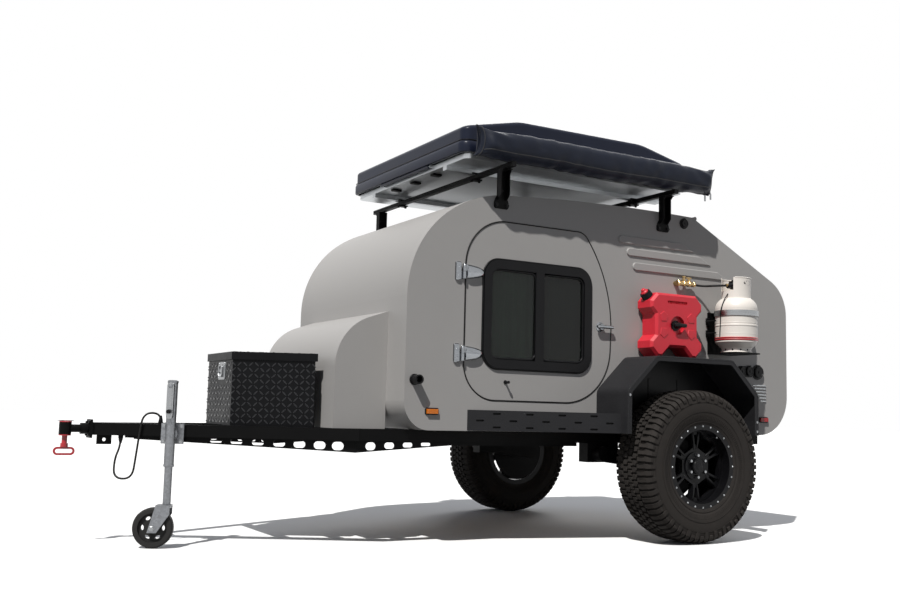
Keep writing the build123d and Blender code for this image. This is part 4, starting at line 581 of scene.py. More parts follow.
def wheel_hardware(side, body, name):
    work = bmesh.new()
    for step in range(24):
        turn = step * math.tau / 24
        bolt(work, (222 * math.cos(turn), side * 1041, AXLE_UP + 222 * math.sin(turn)), (0, side, 0), 9, 5, turn)
    for step in range(6):
        turn = (step + 0.5) * math.tau / 6
        place = (60 * math.cos(turn), side * 990, AXLE_UP + 60 * math.sin(turn))
        turned(work, stand(place, (0, side, 0)), ((0, 0), (11, 0), (11, 14), (8, 20), (0, 21)), 6, turn)
    turned(work, stand((198 * math.cos(2.2), side * 1000, AXLE_UP + 198 * math.sin(2.2)), (0, side, 0)),
           ((0, -30), (4, -30), (4, 20), (5.5, 20), (5.5, 32), (0, 33)), 12)
    dress(work, name, STAINLESS, body)
    work = bmesh.new()
    hub = on_side(side, 0, 1012, AXLE_UP)
    turned(work, hub, ((0, -3), (38, -3), (38, 1.5), (34, 3.5), (31, 1), (20, 2.5), (18, 5), (0, 6)), 40)
    for step in range(6):
        turn = (step + 0.5) * math.tau / 6
        for edge in (-1, 1):
            levels = []
            for radius, half, high in ((92, 5, 984), (128, 7, 989), (176, 8, 989), (190, 8, 984)):
                spread = edge * (0.1 + 0.0002 * (radius - 92))
                ring = []
                for across, out in ((-half, 978), (-half + 2, high), (half - 2, high), (half, 978)):
                    angle = turn + spread + across / radius
                    ring.append(work.verts.new(spot(radius * math.cos(angle), side * out,
                                                    AXLE_UP + radius * math.sin(angle))))
                levels.append(ring)
            skin(work, levels)
    dress(work, name.replace("bolts", "spoke_ribs"), RIM_BLACK, body, bevel=1.5)


for side, hand in SIDES:
    tyre(side, f"wheel_{hand}", f"tyre_{hand}")
    wheel_hardware(side, f"wheel_{hand}", f"wheel_{hand}_bolts")


# Soft goods


AWNING_FRONT, AWNING_LONG, AWNING_OUT, AWNING_UP = 1390, 1680, 825, 2085


def awning_bag():
    """A rolled awning in its coated bag: a long sagging tube with flat standing ends, seams and zip pulls."""
    work = bmesh.new()
    lengths, rounds = 120, 40
    waves = [(CHANCE.uniform(5, 26), CHANCE.uniform(0, 6.3), CHANCE.uniform(-2.0, 2.0), CHANCE.uniform(0.5, 1.6))
             for _ in range(14)]

    def section(share, grow=0.0):
        ahead = AWNING_FRONT - AWNING_LONG * share
        ring = []
        from_end = min(share, 1 - share)
        end = min(1.0, from_end / 0.02)
        hand = 1 if share < 0.5 else -1
        # both ends are pressed flat into standing fins, with creases that run out of them
        pinch = max(0.0, 1 - from_end / 0.055) ** 1.5
        fan = math.exp(-(from_end / 0.11) ** 2)
        sag = 3.0 * math.sin(share * math.tau * 2.2 + 0.8)
        for step in range(rounds):
            turn = step * math.tau / rounds
            c, s = math.cos(turn), math.sin(turn)
            wide = 77 * math.copysign(abs(c) ** 0.72, c) * (1 - 0.8 * pinch)
            lift = 0.38 if s > 0 else 0.16
            tall = 73 * math.copysign(abs(s) ** 0.78, s) * (1 - 0.18 * fan + lift * pinch)
            crease = 4.5 * fan * (1 - pinch) * math.sin(6 * turn + 60 * share)
            crumple = sum(high * math.sin(rate * share * 6 + phase + twist * turn)
                          for rate, phase, twist, high in waves)
            ripple = (0.45 + 0.55 * max(0.0, -s)) * crumple * 0.8 * end
            reach = 1 + (ripple + crease + grow) / 76
            low = AWNING_UP + tall * reach - (sag if s < 0 else 0.35 * sag)
            back = hand * pinch * (28 * (1 - s * s) + 6 * (1 - s))
            ring.append((ahead - back, AWNING_OUT + wide * reach + 22 * pinch * s, max(2010.5 - grow, low)))
        return ring

    rings = []
    for step in range(lengths + 1):
        rings.append([work.verts.new(spot(*place)) for place in section(step / lengths)])
    # each cuff turns in and runs back to the rolled cloth inside it
    ends = []
    for edge, hand in ((rings[0], 1), (rings[-1], -1)):
        for depth, shrink in ((4, 0.95), (22, 0.86)):
            ends.append([
                work.verts.new(v.co + Vector((-hand * depth / 1000, (AWNING_OUT / 1000 - v.co.y) * (1 - shrink),
                                              (AWNING_UP / 1000 - v.co.z) * (1 - shrink))))
                for v in edge])
    skin(work, [ends[1], ends[0]] + rings + [ends[2], ends[3]])
    bag = hand_over(work, "awning_bag_cloth", BAG_CLOTH, "chassis", 60, subdivide=1)
    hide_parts("awning_bag")

    work = bmesh.new()
    for share in (0.015, 0.985):
        bar(work, [section(share, 1.0)[step] for step in range(rounds)], 2.6, 8, closed=True)
    for turn_step in (28, 36):
        bar(work, [section(0.02 + 0.96 * step / 90, 0.8)[turn_step] for step in range(91)], 2.4, 8)
    dress(work, "awning_seams", WEBBING, "chassis", 50)

    work = bmesh.new()
    for share, turn_step in ((0.975, 34), (0.965, 30)):
        place = section(share, 1.0)[turn_step]
        bar(work, [(place[0], place[1] + 2, place[2]), (place[0] - 1, place[1] + 5, place[2] - 14)], 2.2, 8)
        slab(work, stand((place[0] - 1, place[1] + 5, place[2] - 32), (0, 1, 0)), rounded(11, 38, 4), -1.6, 1.6, 0.6)
    dress(work, "awning_zip_pulls", STAINLESS, "chassis")


def cushion(name, low, high, crown, rows, coat, body, node):
    """A foam pad in a sewn cover: crowned, tufted in rows, its sides pulled in between the corners."""
    work = bmesh.new()
    size = [top - bottom for bottom, top in zip(low, high)]
    across, along = 56, 44

    def skin_point(u, v, share):
        """u and v run from -1 to 1 over the top; share is 0 at the foot and 1 at the top edge"""
        pull_u = 1 - 0.012 * (1 - v * v)
        pull_v = 1 - 0.012 * (1 - u * u)
        return (low[0] + size[0] * (1 + u * pull_u) / 2, low[1] + size[1] * (1 + v * pull_v) / 2,
                low[2] + size[2] * share)

    def tuft(u, v):
        dip = 0.0
        for row in range(rows[0]):
            for column in range(rows[1]):
                pu = -1 + (2 * row + 1) / rows[0]
                pv = -1 + (2 * column + 1) / rows[1]
                gap = ((u - pu) * size[0] / 2) ** 2 + ((v - pv) * size[1] / 2) ** 2
                dip += math.exp(-gap / 900)
        return dip

    grid = []
    for i in range(across + 1):
        u = -1 + 2 * i / across
        line = []
        for j in range(along + 1):
            v = -1 + 2 * j / along
            rim = max(abs(u), abs(v))
            x, y, _ = skin_point(u, v, 1)
            z = high[2] - crown * rim ** 6 - 9 * tuft(u, v)
            line.append(work.verts.new(spot(x, y, z)))
        grid.append(line)
    for i in range(across):
        for j in range(along):
            work.faces.new((grid[i][j], grid[i + 1][j], grid[i + 1][j + 1], grid[i][j + 1]))
    border = ([(i, 0) for i in range(across)] + [(across, j) for j in range(along)]
              + [(i, along) for i in range(across, 0, -1)] + [(0, j) for j in range(along, 0, -1)])
    rings = [[grid[i][j] for i, j in border]]
    for share, grow in ((0.80, 1.0), (0.5, 1.0), (0.16, 1.0), (0.0, 0.985)):
        ring = []
        for i, j in border:
            u, v = -1 + 2 * i / across, -1 + 2 * j / along
            x, y, z = skin_point(u, v, share)
            mid = ((low[0] + high[0]) / 2, (low[1] + high[1]) / 2)
            ring.append(work.verts.new(spot(
                mid[0] + (x - mid[0]) * grow, mid[1] + (y - mid[1]) * grow, z)))
        rings.append(ring)
    skin(work, rings, capped=False)
    work.faces.new(rings[-1])
    pad = hand_over(work, name, coat, body, 70, subdivide=1)
    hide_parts(node)

    work = bmesh.new()
    for level, drop in ((1.0, crown + 1), (0.06, 0)):
        path = []
        for i, j in border[::2]:
            u, v = -1 + 2 * i / across, -1 + 2 * j / along
            x, y, z = skin_point(u, v, level)
            path.append((x, y, z - drop))
        bar(work, path, 4.5, 8, closed=True)
    dress(work, name + "_piping", coat, body, 60)


CURTAIN_FRONT, CURTAIN_WIDE, CURTAIN_OUT, CURTAIN_TOP, CURTAIN_DROP = 1240, 332, 685.2, 1498, 582


def curtain(side, body, node):
    """A gathered curtain on a stretched wire behind the front pane."""
    work = bmesh.new()
    folds, steps, drops = 6, 96, 16
    grid = []
    for step in range(steps + 1):
        share = step / steps
        line = []
        for drop in range(drops + 1):
            fall = drop / drops
            depth = 9 * math.sin(share * folds * math.tau + 0.9 * math.sin(3 * fall)) * (0.45 + 0.55 * fall) - 6
            tuck = 20 * math.sin(fall * math.pi) ** 2 * (share - 0.1)
            place = (CURTAIN_FRONT - CURTAIN_WIDE * share - tuck * 0.4, side * (CURTAIN_OUT + depth),
                     CURTAIN_TOP - CURTAIN_DROP * fall)
            line.append(work.verts.new(spot(*place)))
        grid.append(line)
    for step in range(steps):
        for drop in range(drops):
            work.faces.new((grid[step][drop], grid[step + 1][drop], grid[step + 1][drop + 1], grid[step][drop + 1]))
    cloth = hand_over(work, node + "_cloth", CURTAIN_CLOTH, body, 80)
    wire_work = bmesh.new()
    bar(wire_work, [(1252, side * CURTAIN_OUT, 1492), (560, side * CURTAIN_OUT, 1492)], 2.2, 8)
    wire = hand_over(wire_work, node + "_wire", STAINLESS, body)
    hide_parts(node)


CANVAS_AHEAD, CANVAS_LOW, CANVAS_HIGH = 580, 2066, 2150


def tent_bellows():
    """The tent's folded canvas walls, in pleats between the base and the shell."""
    work = bmesh.new()
    folds = 7
    rings = []
    for step in range(2 * folds + 1):
        inset = 0 if step % 2 else 28
        height = CANVAS_LOW + (CANVAS_HIGH - CANVAS_LOW) * step / (2 * folds)
        outline = rounded(1500 - 2 * inset, 1352 - 2 * inset, 40 - inset * 0.5, 6)
        rings.append([work.verts.new(spot(CANVAS_AHEAD + x, y, height)) for x, y in outline])
    skin(work, rings, capped=False)
    walls = hand_over(work, "tent_canvas_walls", TENT_CANVAS, None, 25)
    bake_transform(walls)


awning_bag()
cushion("mattress_pad", (-165, -655, 614.3), (1540, 655, 739.3), 10, (6, 5), TICKING, "chassis", "mattress")
cushion("tent_mattress", (-116, -630, 2063.6), (1276, 630, 2153.3), 8, (5, 5), TICKING, "chassis", "tent_bedding")
for side, hand in SIDES:
    curtain(side, f"door_{hand}_body", f"curtain_{hand}")
tent_bellows()


# Tread plate and latch on the toolbox

TREAD_PITCH = 29
TREAD_BAR = ((15, 0), (9, 2.6), (0, 3.4), (-9, 2.6), (-15, 0), (-9, -2.6), (0, -3.4), (9, -2.6))
BOX_FRONT, BOX_AHEAD, BOX_UP = 2416, 2228.5, 755.5  # its front face and its middle
LATCH = (BOX_FRONT, 34, 868)


def tread_bars(work, where, width, height, keeps=lambda x, y: True):
    """Raised bars of tread plate, turned one way and the other, wherever keeps(x, y) lets one stand."""
    columns, rows = int(width / 2 / TREAD_PITCH), int(height / 2 / TREAD_PITCH)
    for column in range(-columns, columns + 1):
        for row in range(-rows, rows + 1):
            x, y = column * TREAD_PITCH, row * TREAD_PITCH
            if keeps(x, y):
                turn = Matrix.Rotation(math.radians(45 if (column + row) % 2 else -45), 4, "Z")
                slab(work, where @ Matrix.Translation((x / 1000, y / 1000, 0)) @ turn, TREAD_BAR, -0.3, 1.8, 1.1)


def toolbox_dress():
    work = bmesh.new()
    for side in (LEFT, RIGHT):
        tread_bars(work, stand((BOX_AHEAD, side * 298, BOX_UP), (0.4444, side * 0.8958, 0)), 410, 326)
    tread_bars(work, stand((BOX_FRONT, 0, BOX_UP), (1, 0, 0)), 400, 326,
               lambda x, y: abs(x - LATCH[1]) > 74 or y < LATCH[2] - BOX_UP - 62)
    dress(work, "toolbox_tread", TREAD_BARS, "chassis")
    work = bmesh.new()
    tread_bars(work, stand((BOX_AHEAD, 0, 962.5), (0, 0, 1), (1, 0, 0)), 780, 380,
               lambda x, y: abs(x) < 292 - y * 186 / 375 and abs(y) < 184)
    dress(work, "toolbox_lid_tread", TREAD_BARS, "toolbox_lid_body")

    work = bmesh.new()
    face = stand(LATCH, (1, 0, 0))
    slab(work, face, rounded(112, 92, 12), -0.2, 3, 1.4)
    for wide, tall, low, high in ((88, 66, 2.8, 5.5), (46, 16, 5.2, 9)):
        slab(work, face, rounded(wide, tall, 8 if tall > 20 else 5), low, high, 1.2)
    ring = ((-30, 20), (-24, 27), (24, 27), (30, 20), (30, -16), (20, -30), (-20, -30), (-30, -16))
    bar(work, [(LATCH[0] + 9, LATCH[1] + across, LATCH[2] + up) for across, up in ring], 4.2, 10, closed=True)
    for across in (-48, 48):
        for up in (-37, 37):
            turned(work, stand((LATCH[0] + 3, LATCH[1] + across, LATCH[2] + up), (1, 0, 0)),
                   ((0, -1), (4.5, -1), (4, 1.2), (2, 2.2), (0, 2.4)), 14)
    dress(work, "toolbox_latch", STAINLESS, "chassis", bevel=0.6)

    work = bmesh.new()
    # mounting plate that stands behind the box, in front of the nose
    slab(work, stand((2041, 0, 0), (-1, 0, 0)), [(-396, 589.2), (396, 589.2), (396, 842), (384, 854), (-384, 854),
                                                 (-396, 842)], 0.1, 6, 1)
    dress(work, "toolbox_back_plate", POWDER_COAT, "chassis")


# Fenders: rolled edges, a black ridged sheet on the wall inside each arch, and their bolts


def soft_corners(outline, radius, steps=7):
    """A run of points with each inner corner rounded off."""
    points = [Vector(outline[0])]
    for before, corner, after in zip(outline, outline[1:], outline[2:]):
        corner = Vector(corner)
        back, on = (Vector(before) - corner).normalized(), (Vector(after) - corner).normalized()
        half = back.angle(on) / 2
        reach = radius / math.tan(half)
        middle = corner + (back + on).normalized() * radius / math.sin(half)
        first, last = corner + back * reach - middle, corner + on * reach - middle
        for step in range(steps + 1):
            points.append(middle + first.slerp(last, step / steps).normalized() * radius)
    return points + [Vector(outline[-1])]


def fender_run(inset):
    wide, shift = 488 - inset, inset * 0.39
    return soft_corners(((wide, 592), (wide, 825 - shift), (285 - shift, 1020 - inset), (-285 + shift, 1020 - inset),
                         (-wide, 825 - shift), (-wide, 592)), 55 - inset)


def fender_dress(side, name):
    work = bmesh.new()
    for inset, radius, out in ((5.2, 6, 985.5), (26, 4, 986.5)):
        bar(work, [(ahead, side * out, up) for ahead, up in fender_run(inset)], radius, 12)
    dress(work, name + "_rolled_edge", BED_LINER, "chassis", 50)
    # a black sheet with ridges on the side wall inside each arch
    work = bmesh.new()
    slab(work, on_side(side, 0, WALL, 0), [tuple(point) for point in fender_run(7)], 0.2, 3.2, 0)
    for ahead in (-320, -110, 110, 320):
        ridge = [(ahead - 9, 600), (ahead + 9, 600), (ahead + 9, 905), (ahead - 9, 905)]
        slab(work, on_side(side, 0, WALL, 0), ridge, 2.8, 7, 3)
    dress(work, name + "_arch_black_sheet", BLACK_ABS, "chassis")
    work = bmesh.new()
    for ahead, up in ((-474, 668), (-474, 614), (474, 800)):
        bolt(work, (ahead, side * 990, up), (0, side, 0), 12, 5)
    dress(work, name + "_bolts", STAINLESS, "chassis")


# Fuel can and gas cylinder


def can_dress():
    cap = stand((184, 795, 1367), (1, 0, 1), (0, 1, 0))
    work = bmesh.new()
    turned(work, cap, ((0, 0.5), (33, 0.5), (33, 6), (31.5, 8), (31.5, 30), (29, 34.5), (0, 34.5)), 72, flute=1.6)
    grip = stand((-33, 877, 1209), (1, 0, 0))
    turned(work, grip, ((0, 0), (7, 0.6), (11, 4), (11.8, 12), (11.6, 38), (12.6, 46), (11.6, 54), (11.8, 80),
                        (11, 88), (7, 91.4), (0, 92)), 28)
    turned(work, stand((13, 835.2, 1209), (0, 1, 0)), ((0, 0), (30, 0), (30, 4), (24, 7), (19, 9), (18, 34),
                                                       (0, 34)), 32)
    dress(work, "can_cap_and_grip", BLACK_ABS, "chassis", 40)
    work = bmesh.new()
    turned(work, cap, ((0, 34), (24, 34), (23, 40), (15, 46), (12, 55), (9, 57.5), (0, 58)), 10)
    # the mould's raised panels beside the dish, and the ribs of the top grip
    face = stand((13, 855, 1209), (0, 1, 0))
    for hand in (-1, 1):
        slab(work, face, [(hand * 72, -52), (hand * 104, -78), (hand * 132, -58), (hand * 124, -20), (hand * 84, -20)],
             -0.5, 3, 2)
        slab(work, face, [(hand * 72, 52), (hand * 104, 78), (hand * 132, 58), (hand * 124, 20), (hand * 84, 20)],
             -0.5, 3, 2)
    for step in range(11):
        slab(work, face @ Matrix.Translation(((-60 + 12 * step) / 1000, 0.132, 0)), rounded(4, 13, 1.8), -10.2, -4, 1)
    dress(work, "can_moulding", CAN_RED, "chassis", 30, bevel=0.8)


def gas_dress():
    axis = stand((GAS_AHEAD, GAS_OUT, 0), (0, 0, 1), (1, 0, 0))

    def round_at(radius, degrees, up):
        turn = math.radians(degrees)
        return (GAS_AHEAD + radius * math.cos(turn), GAS_OUT + radius * math.sin(turn), up)

    work = bmesh.new()
    turned(work, axis, ((127.1, 1289), (128.8, 1289), (129.2, 1291), (129.2, 1319), (128.8, 1321), (127.1, 1321)),
           72, hoop=True)
    bolt(work, round_at(129, 178, 1305), (-1, 0, 0), 14, 12)
    slab(work, stand(round_at(128.5, 168, 1305), (-0.98, 0.2, 0)), rounded(34, 24, 4), 0, 4, 1.2)
    dress(work, "gas_band", STAINLESS, "chassis", 40)

    work = bmesh.new()
    for low, high in ((1144, 1152), (1155, 1163)):
        turned(work, axis, ((122.5, low), (125.8, low + 1), (127.2, (low + high) / 2), (125.8, high - 1),
                            (122.5, high)), 72, hoop=True)
    dress(work, "gas_tie_band", RED_ENAMEL, "chassis", 50)

    work = bmesh.new()
    for low, high, out in ((1228, 1237, 124.4), (1246, 1250, 123.6), (1181, 1184, 123.6)):
        turned(work, axis, ((122.4, low - 2), (out, low), (out, high), (122.4, high + 2)), 72, hoop=True)
    bar(work, [round_at(84, degrees, 1517) for degrees in range(40, 321, 8)], 4.2, 10)
    bar(work, [round_at(87, degrees, 1077) for degrees in range(0, 360, 8)], 3.4, 10, closed=True)
    dress(work, "gas_weld_beads", WHITE_ENAMEL, "chassis", 50)

    work = bmesh.new()
    for degrees in range(0, 360, 30):
        turn = math.radians(degrees)
        turned(work, stand(round_at(88, degrees, 1090), (math.cos(turn), math.sin(turn), 0)),
               ((0, -1), (5.5, -1), (5.5, 0.25), (0, 0.25)), 16)
    # hand holes pierced in the collar
    for middle in (95, 190):
        rim = [(30 * math.cos(a), 13 * math.sin(a)) for a in (step * math.tau / 24 for step in range(24))]
        levels = [
            [work.verts.new(spot(*round_at(radius, middle + math.degrees(x / radius), 1486 + z))) for x, z in rim]
            for radius in (85.5, 86.3)
        ]
        skin(work, levels)
    # valve wheel, the nut of its hose and the regulator
    turned(work, stand((GAS_AHEAD, GAS_OUT, 1490), (0, 0, 1)),
           ((0, 0), (9, 0), (9, 6), (27, 8), (29, 11), (29, 17), (26, 20), (10, 21), (0, 19)), 24, flute=2.5)
    turned(work, stand((-424, GAS_OUT, VALVE_UP), (1, 0, 0)),
           ((0, 0), (21, 0), (22, 3), (22, 22), (18, 26), (10, 28), (0, 28)), 36, flute=1.5)
    turned(work, stand((-398, GAS_OUT, 1492), (0, 0, 1)), ((0, -34), (22, -34), (27, -28), (27, -14), (20, -8),
                                                           (11, -4), (11, 6), (0, 7)), 32)
    # bracket clamps that hold the cylinder against its plate
    for up in (1190, 1262):
        bar(work, [(-330, 728, up), (-318, 770, up), (-323, 815, up)], 5, 10)
        slab(work, stand((-342, 728, up), (0, 1, 0)), rounded(30, 44, 6), -1, 6, 2)
    bar(work, [round_at(88, 12, 1420), round_at(112, 8, 1386), round_at(124, 5, 1352), round_at(131, 2, 1316),
               round_at(131, 1, 1292), round_at(126, -1, 1262), round_at(126, -4, 1164)], 3, 8)
    dress(work, "gas_valve_and_clamps", BLACK_ABS, "chassis", 40)

    work = bmesh.new()
    for ahead, across in ((-84, 20), (-128, 18), (-168, 18), (-206, 17)):
        turned(work, stand((ahead, BRASS_OUT, VALVE_UP), (-1, 0, 0)),
               ((0, -7), (across - 2, -7), (across, -5), (across, 5), (across - 2, 7), (0, 7)), 6)
    turned(work, stand((-128, BRASS_OUT, 1480), (0, 0, 1)), ((0, 0), (13, 0), (13, 18), (8, 20), (8, 30), (12, 31),
                                                       (12, 38), (0, 39)), 8)
    turned(work, stand((-168, BRASS_OUT, 1480), (0, 0, 1)), ((0, 0), (12, 0), (12, 16), (7, 18), (7, 27), (0, 28)), 6)
    bar(work, [(-186, 752, 1509), (-168, 752, 1511), (-146, 752, 1509)], 4.5, 10)
    turned(work, stand((-372, GAS_OUT, VALVE_UP), (-1, 0, 0)),
           ((0, -14), (8.5, -14), (9.5, -12), (9.5, 14), (13, 15), (13, 22), (0, 22)), 6)
    dress(work, "gas_brass_nuts", BRASS, "chassis", 30)


# Door hinges and handles


def door_dress(side, body, name):
    work = bmesh.new()
    for height in HINGE_UPS:
        levels = []
        for ahead, half, proud in ((1357, 33, 20), (1354, 37, 25), (1346, 38, 27), (1326, 36.5, 28), (1300, 33, 27),
                                   (1276, 28, 24), (1258, 21, 18), (1248, 13, 11), (1244, 5, 4)):
            levels.append([
                work.verts.new(spot(ahead, side * (720.2 + proud * max(0.0, math.sin(turn)) ** 0.7),
                                    height + 2 + half * math.cos(turn)))
                for turn in (step * math.pi / 18 for step in range(19))
            ])
        skin(work, levels)
        # the knuckle on the pin, and the arm that joins it to the bullet
        turned(work, stand((1371, side * 734, height + 1.6), (0, 0, 1)),
               ((0, 0), (10, 0), (10, 36), (7, 39), (0, 39.5)), 24)
        slab(work, on_side(side, 1362, 734, height + 19.5), rounded(22, 34, 4), -6, 6, 1.5)
    turned(work, on_side(side, 470, 720.3, 1180), ((0, 0), (27, 0), (27, 3), (23, 6.5), (20, 8), (18.6, 18),
                                                   (16, 22), (0, 23)), 32)
    turned(work, stand((506, side * 744, 1180), (-1, 0, 0)), ((0, 0), (7, 1), (9.8, 6), (10.4, 30), (9.8, 60),
                                                              (9.6, 100), (8, 112), (4, 115), (0, 115.5)), 24)
    bright = hand_over(work, name + "_chrome", CHROME, body, 45)
    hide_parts(name.replace("door", "door_fittings"))

    work = bmesh.new()
    for height in HINGE_UPS:
        slab(work, on_side(side, 1404, WALL, height + 2), rounded(34, 98, 9), 0.2, 13, 5)
        for up in (-22, 22):
            turned(work, on_side(side, 1403, 733, height + up), ((0, -1), (5, -1), (4.6, 0.8), (0, 1.6)), 16)
    dress(work, name + "_hinge_plates", CHROME, "chassis", 40, bevel=0.8)

    # the peg low on the door that its holder grips
    work = bmesh.new()
    turned(work, on_side(side, 1097, 720.2, 847), ((0, 0), (11, 0), (11, 3), (6, 5), (5.5, 26), (8, 28), (8, 34),
                                                   (5, 37), (0, 37.5)), 24)
    dress(work, name + "_holder_peg", BLACK_ABS, body, 40)

    # rubber gasket round the window, and each pane's own thin frame with the slider's pull
    work = bmesh.new()
    window = [(WINDOW_AHEAD + x, z + WINDOW_UP) for x, z in rounded(714, 586, 96, 8)]
    bar(work, [(ahead, side * 722.5, up) for ahead, up in window], 5, 10, closed=True)
    for low, high in ((909, 1198), (584, 867)):
        pane = rounded(high - low, 470, 40, 6)
        bar(work, [((low + high) / 2 + x, side * (721 if low > 800 else 713), WINDOW_UP + z) for x, z in pane], 6.5,
            10, closed=True)
    slab(work, on_side(side, 902, 722, WINDOW_UP), rounded(14, 62, 5), 0, 9, 3)
    dress(work, name + "_window_seals", BLACK_ABS, body, 50)


def door_seal(side, body, node):
    """A rubber bead on the edge of the door's outer face, which has no hollow in its outline."""
    door = NODES[node]
    face = sorted({(round(place.x, 4), round(place.z, 4))
                   for place in (door.matrix_world @ v.co for v in door.data.vertices) if place.y * side > 0.7195})

    def half(run):
        line = []
        for x, z in run:
            while len(line) > 1 and ((line[-1][0] - line[-2][0]) * (z - line[-2][1])
                                     <= (line[-1][1] - line[-2][1]) * (x - line[-2][0])):
                line.pop()
            line.append((x, z))
        return line[:-1]

    work = bmesh.new()
    edge = half(face) + half(face[::-1])
    bar(work, [((x - AXLE_AHEAD) * 1000, side * 720.6, z * 1000) for x, z in edge], 3.2, 8, closed=True)
    dress(work, node + "_seal", HOSE_RUBBER, body, 50)


# Roof rack and the tent's rim


def rack():
    work = bmesh.new()
    extrusion = ((-15, -12.5), (15, -12.5), (15, -4), (11, -4), (11, 4), (15, 4), (15, 12.5), (4.5, 12.5), (4.5, 8),
                 (-4.5, 8), (-4.5, 12.5), (-15, 12.5), (-15, 4), (-11, 4), (-11, -4), (-15, -4))
    for ahead in RACK_BARS:
        slab(work, stand((ahead, 0, 1996.5), (0, 1, 0)), extrusion, -839, 839)
        for side in (LEFT, RIGHT):
            foot = ((-46, 1782), (-38, 1773), (38, 1773), (46, 1782), (46, 1806), (40, 1822), (29, 1842), (29, 1984),
                    (-29, 1984), (-29, 1842), (-40, 1822), (-46, 1806))
            slab(work, on_side(side, ahead, WALL, 0), foot, 0.3, 6.3, 1)
            for shift in (-26, 26):
                wing = [(side * out, up) for out, up in ((722, 1818), (742, 1822), (764, 1846), (764, 1960),
                                                         (786, 1984), (722, 1984))]
                slab(work, stand((ahead + shift, 0, 0), (1, 0, 0)), wing, -2.5, 2.5)
            slab(work, stand((ahead, side * 754, 1979), (0, 0, 1)), rounded(64, 66, 5), 0, 5, 1)
    rack_bars = hand_over(work, "rack_bars_and_brackets", POWDER_COAT, "chassis", bevel=1.0)
    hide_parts("roof_rack")

    work = bmesh.new()
    for ahead in RACK_BARS:
        for side in (LEFT, RIGHT):
            slab(work, on_side(side, ahead, 839, 1996.5), rounded(31, 26, 4), -1, 4, 1.5)
            for shift in (-34, 34):
                bolt(work, (ahead + shift, side * 726.3, 1792), (0, side, 0), 20, 11)
            bolt(work, (ahead, side * 726.3, 1870), (0, side, 0), 14, 7)
    dress(work, "rack_bolts_and_caps", BLACK_ABS, "chassis", bevel=0.5)


def hoop_of_sheet(work, middle, outlines):
    """A closed band of sheet from ((width, depth, corner, height), ...) in mm, back to its first line."""
    rings = [
        [work.verts.new(spot(middle[0] + x, middle[1] + y, up)) for x, y in rounded(wide, deep, corner, 8)]
        for wide, deep, corner, up in outlines
    ]
    skin(work, rings + [rings[0]], capped=False)


def tent_dress():
    work = bmesh.new()
    hoop_of_sheet(work, (587, 0), ((1576, 1402, 56, 2065), (1584, 1410, 60, 2066), (1588, 1414, 62, 2072),
                                   (1588, 1414, 62, 2112), (1582, 1408, 59, 2120), (1572, 1398, 54, 2126)))
    dress(work, "tent_rim", TENT_SHELL, "tent_lid", 30)
    work = bmesh.new()
    hoop_of_sheet(work, (587, 0), ((1578, 1404, 57, 2127), (1582, 1408, 59, 2128.5), (1582, 1408, 59, 2131.5),
                                   (1578, 1404, 57, 2133)))
    for across in (-420, 420):
        latch = stand((-207.2, across, 2090), (-1, 0, 0))
        slab(work, latch, rounded(46, 34, 5), -0.5, 5, 1.5)
        slab(work, latch, rounded(26, 30, 6), 4.5, 11, 3)
    dress(work, "tent_trim_and_latches", BLACK_ABS, "tent_lid", 35)

    work = bmesh.new()
    # clamps that hold the tent's rails to the bars, and its folded ladder brackets
    for ahead in RACK_BARS:
        for across in (-450, 450):
            slab(work, stand((ahead, across, 2009), (0, 0, 1)), rounded(74, 56, 7), 0.2, 8, 2)
            slab(work, stand((ahead, across, 1984), (0, 0, -1)), rounded(66, 50, 7), 0.2, 8, 2)
            for shift in (-24, 24):
                bolt(work, (ahead + shift, across, 1976), (0, 0, -1), 15, 8)
    for across in (-250, 0, 250):
        slab(work, stand((1290, across, 2033), (0, 0, -1)), rounded(60, 40, 6), 0.2, 12, 3)
    dress(work, "tent_clamps", POWDER_COAT, "chassis", bevel=0.8)


# Ports, vents, lamps and the rear


# each port's place ahead and up, its radius and how far it stands out, in mm
PORTS = ((-625, 975, 26, 16), (-690, 978, 30, 16), (-765, 975, 38, 18), (-157, 1842, 26, 14))


